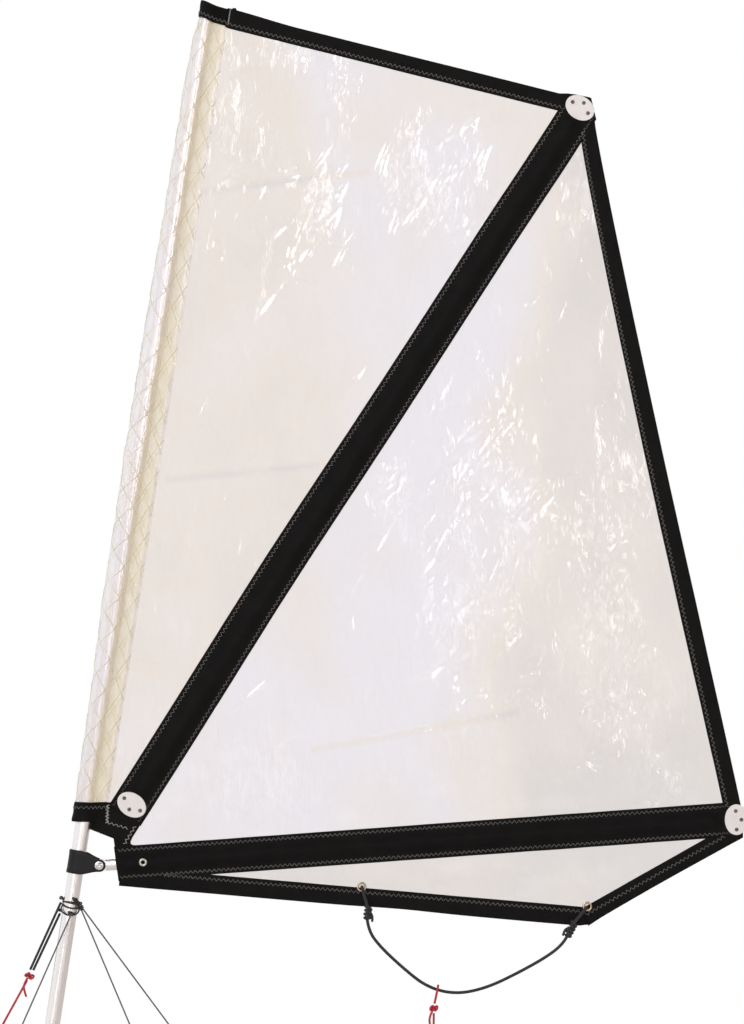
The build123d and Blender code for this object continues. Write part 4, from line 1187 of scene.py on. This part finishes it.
def leech_film():
    aft = SPRIT.line(SPRIT_SLEEVE / 2 - TUCK)
    top = BOOM.line(-BOOM_SLEEVE / 2 + TUCK)
    leech = inset(PEAK_CORNER, LEECH_END, 2 * MM)
    apex, high, far = meet(*aft, *top), meet(*aft, *leech), meet(*leech, *top)

    run = LEECH_END - PEAK_CORNER
    length = np.linalg.norm(run)
    inward = right_of(run) / length

    def grid(u, v):
        v = 0.015 + 0.985 * v
        p = apex + (lerp(high, far, u) - apex) * v[:, None]
        share = (p - PEAK_CORNER) @ run / length ** 2
        return p + inward * (leech_hollow(share) * v ** 3)[:, None]

    def beige(x, z):
        right = smooth((x - 0.61) / 0.16)
        low = smooth((0.62 - z) / 0.2)
        return 0.06 + 0.72 * right + 0.26 * low * smooth((x - 0.42) / 0.2)

    obj = panel("leech_film", "leech_panel", grid, (220, 260),
                [(*aft, TUCK), (*top, TUCK), (*leech, TAPE)], beige)
    fan(obj, "sprit", "boom", LEECH_FAN)
    stretched([apex, high, far])


def foot_film():
    under = BOOM.line(BOOM_SLEEVE / 2 - TUCK)
    foot, rear = inset(FOOT_CORNER, FOOT_FRONT, 2 * MM), inset(CLEW_LOW, FOOT_CORNER, 2 * MM)
    left = BOOM.at(32 * MM, BOOM_SLEEVE / 2 - TUCK)
    low = meet(*foot, left, left + np.array([0, 1.0]))
    right, corner = BOOM.at(BOOM.length + 2 * MM, BOOM_SLEEVE / 2 - TUCK), meet(*foot, *rear)
    tip = meet(*rear, right, right + np.array([0, 1.0]))

    def grid(u, v):
        lower = np.where((u < 0.7)[:, None], lerp(low, corner, u / 0.7), lerp(corner, tip, (u - 0.7) / 0.3))
        upper = lerp(left, right, u)
        return lower + (upper - lower) * v[:, None]

    def beige(x, z):
        return 0.9 + 0.1 * np.sin(x * 9)

    obj = panel("foot_film", "foot_panel", grid, (300, 40),
                [(*under, TUCK), (*foot, TAPE), (*rear, TAPE)], beige, "boom")
    stretched([left, right, tip, corner, low])


# ---------------------------------------------------------------- luff sleeve and its bands
def drop(radius, tip, half_tip, points=44):
    """Outline round the mast, closing to a flat seam aft: (side, out) pairs, once round."""
    angle = math.atan2(radius - half_tip, tip) * 0.9
    start = math.pi / 2 - angle
    arc = np.linspace(start, 2 * math.pi - start, points - 12)
    outline = [(radius * math.cos(a), radius * math.sin(a)) for a in arc]
    x, y = outline[-1]
    flat = np.linspace(0, 1, 7)[1:]
    low = [(x + (tip - x) * t, y + (-half_tip - y) * smooth(t ** 0.7)) for t in flat]
    return [(side, -out) for side, out in low[::-1]] + outline + low


def luff_outline(grow=0.0):
    return np.array(drop(LUFF_RADIUS + grow, LUFF_FLAP, 0.9 * MM + grow))


def luff_ripple(station, side, out):
    return ripple(station * 22, side * 60, out * 40 + 3)


def luff_reach(station):
    """How far the slack film reaches forward of the mast's axis, as a share of its tight radius."""
    heights = np.array([400, 480, 560, 720, 1010, 1180, 1300, 1480, 1560, 1585]) * MM
    reach = np.array([16.8, 17.8, 18.2, 21.6, 22.2, 20.6, 18.6, 17.6, 15.2, 11.2]) * MM
    return np.interp(station, heights, reach) / LUFF_RADIUS


def cap_top(side):
    """Station of the head's edge at the mast, where the cap stands a little above the head line."""
    lift = 2.0 * MM + 3.2 * MM * smooth((16 * MM - side) / (26 * MM))
    return MAST.station_where(side, HEAD_FRONT, PEAK_CORNER) + lift


def luff_sleeve():
    outline = luff_outline()
    count = 290
    rings, tint = [], []
    for share in np.linspace(0, 1, count):
        ring = []
        for side, out in outline:
            low, high = LUFF_LOW - 4 * MM, cap_top(side) - 15 * MM
            s = low + (high - low) * share
            coarse = luff_ripple(s, side, out)
            fine = ripple(s * 75, side * 150, 7.0 + out * 90)
            held = smooth((LUFF_FLAP - side) / (8 * MM)) * smooth((high - s) / (22 * MM))
            puff = (1.5 * MM * max(coarse, -0.1) + 0.5 * MM * fine) * held
            away = max(math.hypot(side, out), 1e-6)
            grow = 1 + puff / away if side < 14 * MM else 1.0
            y = (out * grow + (math.copysign(puff, out) if side >= 14 * MM else 0))
            y *= 1 - 0.1 * smooth((s - high + 26 * MM) / (20 * MM))
            ring.append(tuple(MAST.point(s, side * (grow * luff_reach(s) if side < 0 else 1), y)))
            shade = 0.12 + 0.25 * ripple(s * 8, side * 30, 1.5)
            # Aft of the mast's axis, up to the seam, the film is painted tan: partly the film's own cream, partly
            # painted shade where the mast's shaded side shows through.
            tint.append(shade + 0.75 * smooth(side / (8 * MM)) * smooth((30 * MM - side) / (5 * MM)))
        rings.append(ring)
    piece = Piece()
    loft(piece, rings, caps=False, closed=False)
    lattice(piece)
    obj = piece.build("luff_film_sleeve", [sleeve_film, lattice_thread], "luff", "luff_film", ["luff_sleeve"])
    values = np.clip(np.concatenate([tint, np.zeros(piece.count - len(tint))]), 0, 1)
    mark(obj, tint=values, crinkle=np.full(len(values), 0.32))


def lattice(piece, pitch=46 * MM, rise=1.75, radius=0.38 * MM):
    """Diamonds of reinforcing thread laid in the film sleeve."""
    around = luff_outline(0.15 * MM)
    run = run_along(around)
    total = run[-1]
    for way in (1, -1):
        starts = np.arange(LUFF_LOW - total * rise, LUFF_HIGH + total * rise, pitch)
        for first in starts:
            line = []
            for t in np.linspace(0, total, 40):
                s = first + way * t * rise
                if LUFF_LOW < s < LUFF_HIGH - 2 * MM:
                    side, out = np.interp(t, run, around[:, 0]), np.interp(t, run, around[:, 1])
                    puff = 1.2 * MM * max(luff_ripple(s, side, out), -0.1)
                    away = max(math.hypot(side, out), 1e-6)
                    if s < cap_top(side) - 16 * MM:
                        reach = luff_reach(s) if side < 0 else 1
                        line.append(tuple(MAST.point(s, side * reach, out * (1 + puff / away))))
            if len(line) > 3:
                tube(piece, line, radius, 4, mat=1)


# ---------------------------------------------------------------- refined copies of CAD nodes
def refined(name, node, material, width, angle=32):
    """A copy of a CAD node with its edges rounded."""
    source = frame["nodes"][node]
    mesh = source.data.copy()
    mesh.name = name
    bm = bmesh.new()
    bm.from_mesh(mesh)
    bmesh.ops.remove_doubles(bm, verts=bm.verts, dist=1e-6)
    bmesh.ops.dissolve_limit(bm, angle_limit=math.radians(0.6), verts=bm.verts, edges=bm.edges)
    sharp = [e for e in bm.edges if len(e.link_faces) == 2 and e.calc_face_angle(0) > math.radians(angle)]
    bmesh.ops.bevel(bm, geom=sharp, offset=width, segments=2, profile=0.5, affect="EDGES",
                    clamp_overlap=True)
    bmesh.ops.triangulate(bm, faces=[f for f in bm.faces if len(f.verts) > 4])
    bm.to_mesh(mesh)
    bm.free()
    mesh.materials.clear()
    mesh.materials.append(material)
    mesh.polygons.foreach_set("use_smooth", np.ones(len(mesh.polygons), bool))
    mesh.set_sharp_from_angle(angle=math.radians(38))
    obj = bpy.data.objects.new(name, mesh)
    bpy.context.scene.collection.objects.link(obj)
    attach(obj, source["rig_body"])
    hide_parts(node)


def level_station(z, side):
    """Mast station at which the point at that side has this height."""
    return (z + side * math.sin(math.acos(MAST.along[1]))) / MAST.along[1]


def band_outline(grow):
    return np.array(drop(LUFF_RADIUS + grow, LUFF_FLAP - 1 * MM, 0.7 * MM + grow * 0.6))


def wrapped(piece, rows, front=1.0):
    """Surface over rows of the luff outline, each (growth, height as a function of side and face).

    front is how far the outline reaches forward, as a share."""
    rings = []
    for grow, height in rows:
        outline = band_outline(grow)
        rings.append([tuple(MAST.point(height(side, out), side * (front if side < 0 else 1), out))
                      for side, out in outline])
    loft(piece, rings, caps=False)


def wrapped_row(piece, z_of_side, grow, face=-1, reach=STITCH_REACH, mat=1, seed=3, front=1.0):
    """Zigzag round one face of a band."""
    half = [(side, out) for side, out in band_outline(grow) if out * face > 0.4 * MM]
    half = np.array(sorted(half, key=lambda p: p[0]))
    run = run_along(half)

    def place(at, sway, lift):
        side, out = np.interp(at, run, half[:, 0]), np.interp(at, run, half[:, 1])
        away = max(math.hypot(side, out), 1e-6)
        side, out = side + side / away * lift * (side < 0), out + out / away * lift
        return MAST.point(z_of_side(side) + sway, side * (front if side < 0 else 1), out)

    zigzag_on(piece, run[-1] - 1 * MM, place, mat, reach=reach, seed=seed)


BAND_LOW, BAND_HIGH = 383.0 * MM, 411.0 * MM


def foot_band():
    def level(z, wave):
        return lambda side, out: level_station(z + wave * ripple(side * 60, out * 60, z * 9), side)

    piece = Piece()
    inner, outer = 0.35 * MM, 1.5 * MM
    rows = [(inner, level(BAND_HIGH - 2 * MM, 0)), (inner, level(BAND_HIGH, 0.8 * MM)),
            (outer * 0.7, level(BAND_HIGH + 0.5 * MM, 0.8 * MM)), (outer, level(BAND_HIGH - 0.4 * MM, 0.8 * MM))]
    for t in np.linspace(0.06, 0.94, 9):
        z = BAND_HIGH + (BAND_LOW - BAND_HIGH) * t
        rows.append((outer + 0.35 * MM * math.sin(t * 9), level(z, 0.2 * MM)))
    rows += [(outer, level(BAND_LOW + 0.4 * MM, 0.9 * MM)), (outer * 0.7, level(BAND_LOW - 0.5 * MM, 0.9 * MM)),
             (inner, level(BAND_LOW, 0.9 * MM)), (inner, level(BAND_LOW + 6 * MM, 0))]
    wrapped(piece, rows[::-1], 1.2)
    for face in (-1, 1):
        wrapped_row(piece, lambda side: level_station(BAND_HIGH - 7.2 * MM, side), outer + 0.3 * MM, face,
                    front=1.2)
    piece.build("foot_band", [black_fabric, thread], "luff", "black_fabric", ["luff_foot_band"])


def head_pocket():
    """Cap over the mast's top: a wrap with a closed, slanting top."""
    drop_line, front = 25.0 * MM, 0.84

    def low(side, out):
        return cap_top(side) - drop_line + 0.7 * MM * ripple(side * 70, out * 50, 2.0)

    piece = Piece()
    inner, outer = 0.2 * MM, 1.3 * MM
    rows = [(inner, lambda a, b: low(a, b) + 8 * MM), (inner, low), (outer * 0.7, lambda a, b: low(a, b) - 0.4 * MM),
            (outer, lambda a, b: low(a, b) + 0.5 * MM)]
    for t in np.linspace(0.08, 0.9, 8):
        rows.append((outer + 0.3 * MM * math.sin(t * 11),
                     lambda a, b, t=t: low(a, b) + (cap_top(a) - low(a, b)) * t))
    rows += [(outer * 0.9, lambda a, b: cap_top(a) - 0.9 * MM), (outer * 0.2, lambda a, b: cap_top(a) - 0.25 * MM)]
    wrapped(piece, rows, front)
    outline = band_outline(outer * 0.2)
    outline[:, 0] *= np.where(outline[:, 0] < 0, front, 1)
    centre = np.array([outline[:, 0].mean(), 0.0])
    lids = []
    for t in (0.0, 0.3, 0.6, 0.9, 0.995):
        ring = outline + (centre - outline) * t
        lids.append([tuple(MAST.point(cap_top(side) - 0.25 * MM + 0.3 * MM * t, side, out)) for side, out in ring])
    loft(piece, lids, caps=False)
    for face in (-1, 1):
        wrapped_row(piece, lambda side: cap_top(side) - drop_line + 5.5 * MM, outer + 0.3 * MM, face, seed=9,
                    front=front)
    sail_row(piece, (276.2, 1586.0), (272.6, 1563.0), 1.25 * MM, seed=12, reach=1.0 * MM, pitch=3.4 * MM, mat=2)
    tab = np.array([(278.0, 1582.0), (279.2, 1586.4), (284.2, 1586.0), (286.4, 1579.4), (284.0, 1572.0),
                    (279.4, 1572.0)]) * MM
    cutout(piece, tab, 1.6 * MM)
    piece.build("head_pocket", [black_fabric, thread, light_thread], "luff", "black_fabric", ["head_cap"])


def cutout(piece, corners, half, round_over=0.35 * MM):
    """Flat fabric cut to a polygon of sail points, clockwise in the sail plane, with soft edges."""
    corners = np.array(corners, float)
    dense = []
    for p, q in zip(corners, np.roll(corners, -1, axis=0)):
        count = max(1, int(np.linalg.norm(q - p) / (4 * MM)))
        dense += [p + (q - p) * k / count for k in range(count)]
    edge = np.array(dense)
    before, after = np.roll(edge, 1, axis=0), np.roll(edge, -1, axis=0)
    d = after - before
    inward = np.stack([d[:, 1], -d[:, 0]], -1) / np.maximum(np.linalg.norm(d, axis=1), 1e-9)[:, None]
    rings = []
    for shrink, y in ((1.0, -1.0), (0.25, -0.8), (0.0, -0.35), (0.0, 0.35), (0.25, 0.8), (1.0, 1.0)):
        ring = edge + inward * round_over * shrink
        rings.append([(x, half * y, z) for x, z in ring])
    loft(piece, rings, caps=False)
    flat = [Vector((x, z, 0)) for x, z in edge + inward * round_over]
    triangles = mathutils.geometry.tessellate_polygon([flat])
    for y, order in ((-half, 1), (half, -1)):
        verts = [(v.x, y, v.y) for v in flat]
        faces = []
        for t in triangles:
            a, b, c = (flat[k] for k in t)
            turn = (b - a).cross(c - a).z
            faces.append(t if (turn > 0) == (order > 0) else t[::-1])
        faces = np.array(faces)
        piece.add(verts, [faces], [np.array([(flat[k].x, flat[k].y) for k in faces.ravel()])])


def sail_row(piece, p, q, half, **more):
    both_sides(piece, np.array(p) * MM, np.array(q) * MM, half, **more)


def tack_fabric():
    """Corner patch that joins band, diagonal and boom, with its rows of thread."""
    aft = SPRIT.line(SPRIT_SLEEVE / 2)
    top = BOOM.line(-BOOM_SLEEVE / 2)
    crotch = meet(*aft, *top)
    up, along = SPRIT.along, BOOM.along
    curve = [crotch + up * a + along * b for a, b in ((0.015, 0), (0.0085, 0.001), (0.0038, 0.0034),
                                                      (0.001, 0.008), (0, 0.014))]
    front = SPRIT.line(-SPRIT_SLEEVE / 2)
    brow = meet(*front, np.array([0, BAND_HIGH]), np.array([1, BAND_HIGH]))
    corners = [brow - sail(24.0, 0.4), brow + sail(0, 0.3), SPRIT.at(-14 * MM, -24 * MM),
               SPRIT.at(-14 * MM, 24 * MM), aft[0] + SPRIT.along * -22 * MM]
    corners += curve + [BOOM.at(0.060, -BOOM_SLEEVE / 2 + 3 * MM), BOOM.at(24.5 * MM, -BOOM_SLEEVE / 2 + 3 * MM),
                        BOOM.at(24.5 * MM, -BOOM_SLEEVE / 2 - 1 * MM), sail(103.0, 357.5),
                        sail(68.0, 371.2), sail(66.6, 384.5)]
    piece = Piece()
    cutout(piece, corners, 1.25 * MM)
    half = 1.3 * MM
    for number in range(2):
        sail_row(piece, (92.6 + number * 1.6, 380.5), (93.6 + number * 1.6, 407.5), half, seed=40 + number,
                 reach=1.7 * MM, pitch=5 * MM)
    sail_row(piece, (93.5, 381.5), (124.0, 372.5), half, seed=43, reach=1.8 * MM)
    sail_row(piece, (119.0, 349.0), (135.0, 376.0), half, seed=44)
    obj = piece.build("tack_fabric", [black_fabric, light_thread], slot="black_fabric", replaces=["tack_patch"])
    fan(obj, "sprit", "boom", TACK_FAN)


def gooseneck_strap():
    """Moulded strap bent round the mast, with rounded ends at the pin."""
    station = float(MAST.along @ GOOSENECK)
    reach = float(MAST.side @ GOOSENECK)
    middle, thick = 12.6 * MM, 1.25 * MM
    tall, short, knee = 17.5 * MM, 9.5 * MM, 6 * MM
    leg = np.concatenate([reach + short * np.cos(np.linspace(0.06, math.pi / 2, 9)),
                          np.linspace(reach, 0, 14)[1:]])
    bend = np.linspace(-math.pi / 2, -3 * math.pi / 2, 30)[1:-1]
    path = [(side, -middle) for side in leg] + [(middle * math.cos(a), middle * math.sin(a)) for a in bend]
    path += [(side, middle) for side in leg[::-1]]
    path = np.array(path)
    t = np.gradient(path, axis=0)
    t /= np.linalg.norm(t, axis=1)[:, None]
    out = np.stack([-t[:, 1], t[:, 0]], -1)
    out *= np.sign((out * (path - [10 * MM, 0])).sum(axis=1))[:, None]
    rings = []
    for (side, y), (nx, ny) in zip(path, out):
        if side > reach:
            half = math.sqrt(max(short ** 2 - (side - reach) ** 2, (0.6 * MM) ** 2))
        else:
            half = tall + (short - tall) * smooth((side - knee) / (reach - knee)) * 0.6
            half += (short - tall) * 0.4 * min(max((side - knee) / (reach - knee), 0), 1)
        lip = 0.5 * MM * math.exp(-((half - tall) / (2 * MM)) ** 2)
        ring = []
        for share, way in ((-1.0, 0.35), (-0.97, 0.85), (-0.9, 1.0), (-0.5, 1.0), (0.0, 1.0), (0.5, 1.0),
                           (0.9, 1.0), (0.97, 0.85), (1.0, 0.35), (1.0, -0.35), (0.97, -0.85), (0.9, -1.0),
                           (0.0, -1.0), (-0.9, -1.0), (-0.97, -0.85), (-1.0, -0.35)):
            swell = lip * math.exp(-((abs(share) - 0.9) / 0.1) ** 2) if way > 0 else 0
            d = way * thick + swell
            ring.append(tuple(MAST.point(station + share * half, side + nx * d, y + ny * d)))
        rings.append(ring)
    piece = Piece()
    loft(piece, rings)
    piece.build("gooseneck_strap_moulded", [strap_plastic], "luff", "strap_plastic", ["gooseneck_strap"])


def hard_parts():
    plain = (
        (tube_alloy, ("mast_lower_tube", "mast_upper_tube", "boom_front_tube", "boom_rear_tube", "boom_front_plug")),
        (ferrule_alloy, ("mast_ferrule", "sprit_ferrule", "boom_ferrule")),
        (spar_composite, ("sprit_lower_tube", "sprit_upper_tube")),
        (black_plastic, ("mast_top_cap", "sprit_end_plugs", "boom_end_plug")),
        (stainless, ("hinge_pin_and_ring",)),
        (white_plastic, ("peak_plates", "tack_plates", "clew_plates")),
    )
    for material, nodes in plain:
        for node in nodes:
            for place in frame["nodes"][node].material_slots:
                place.material = material
    refined("deck_plate_moulded", "deck_plate", black_plastic, 0.4 * MM)
    refined("foot_bracket_bent", "foot_bracket", stainless, 0.35 * MM)
    refined("mast_foot", "mast_foot_plug", black_plastic, 0.6 * MM)


PEAK_RIVETS = ((-10.8, 8.6), (5.6, 7.1), (11.8, -8.0))
TACK_RIVETS = ((-11.0, 9.8), (-3.7, -6.8), (12.4, -8.6))
CLEW_RIVETS = ((-1.1, 12.8), (7.2, 0.0), (0.1, -14.6))


def rivets():
    dome = [(0.0005, 0.35), (1.1, 0.35), (1.25, 1.05), (1.6, 1.35), (2.6, 1.2), (3.6, 0.7), (4.0, 0.15), (4.0, -0.2)]
    for name, centre, offsets, body in (("peak", PEAK, PEAK_RIVETS, "sprit"), ("tack", TACK, TACK_RIVETS, "sprit"),
                                        ("clew", CLEW_PLATE, CLEW_RIVETS, "boom")):
        piece = Piece()
        for dx, dz in offsets:
            for way in (-1, 1):
                place = (centre[0] + dx * MM, way * 3.55 * MM, centre[1] + dz * MM)
                lathe(piece, turned(dome, 0.72, 0.8), place, (0, way, 0), 24)
        piece.build(name + "_pop_rivets", [rivet_metal], body, "rivet_alloy", [name + "_rivets"])


def rolled_ring(piece, point, bore, rim, half, height):
    """Eyelet: a rolled ring on each face, joined by its throat."""
    profile = [(bore, -half), (bore, half), (bore * 1.04, half + height * 0.6), ((bore + rim) / 2, half + height),
               (rim * 0.97, half + height * 0.55), (rim, half), (rim, -half), (rim * 0.97, -half - height * 0.55),
               ((bore + rim) / 2, -half - height), (bore * 1.04, -half - height * 0.6), (bore, -half)]
    lathe(piece, profile[::-1], (point[0], 0, point[1]), (0, 1, 0), 36)


def eyelets():
    piece = Piece()
    for point in GROMMETS:
        rolled_ring(piece, point, 4.2 * MM, 7.2 * MM, TAPE_HALF, 1.3 * MM)
    piece.build("foot_tape_grommets", [grommet_metal], "boom", "grommet_metal", ["foot_grommets"])
    piece = Piece()
    rolled_ring(piece, middle("boom_eyelet"), 2.8 * MM, 6.0 * MM, BOOM_CREST, 1.2 * MM)
    piece.build("boom_tube_eyelet", [eyelet_metal], "boom", "grommet_metal", ["boom_eyelet"])


def gooseneck_pin():
    _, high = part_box("gooseneck_pin")
    face = high.y - 2.5 * MM
    head = [(0.0005, 1.6), (0.9, 1.6), (1.2, 1.9), (2.6, 2.4), (3.4, 2.2), (3.9, 1.5), (4.0, 0.9), (4.4, 0.75),
            (6.0, 0.9), (6.5, 0.55), (6.5, 0.0)]
    piece = Piece()
    for way in (-1, 1):
        lathe(piece, turned(head), (GOOSENECK[0], way * face, GOOSENECK[1]), (0, way, 0), 32)
    lathe(piece, [(3 * MM, -face), (3 * MM, face)], (GOOSENECK[0], 0, GOOSENECK[1]), (0, 1, 0), 24)
    piece.build("gooseneck_rivet", [pin_metal], "luff", "stainless", ["gooseneck_pin"])


def bracket_screws():
    low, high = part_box("bracket_screws")
    head = [(0.0005, 1.0), (1.4, 1.0), (1.5, 1.9), (2.2, 2.15), (3.2, 1.6), (3.9, 0.6), (4.0, 0.0)]
    piece = Piece()
    top = high.z - 2.2 * MM
    for x in (low.x + 4 * MM, high.x - 4 * MM):
        lathe(piece, turned(head), (x, 0, top), (0, 0, 1), 24)
        lathe(piece, [(2 * MM, low.z - top), (2 * MM, 0)], (x, 0, top), (0, 0, 1), 18)
    piece.build("bracket_screw_pair", [stainless], "deck_fitting", "stainless", ["bracket_screws"])


# ---------------------------------------------------------------- the whole rig
camera()
collar()
bridle_parts()
sheet_parts()
stay_parts()
studio()
floor()

head_binding, leech_binding = head_and_leech_tapes()
foot_bindings = foot_tapes()
sprit_sleeve()
boom_sleeve()
luff_film()
leech_film()
foot_film()
luff_sleeve()
foot_band()
head_pocket()
tack_fabric()
gooseneck_strap()
hard_parts()
rivets()
eyelets()
gooseneck_pin()
bracket_screws()
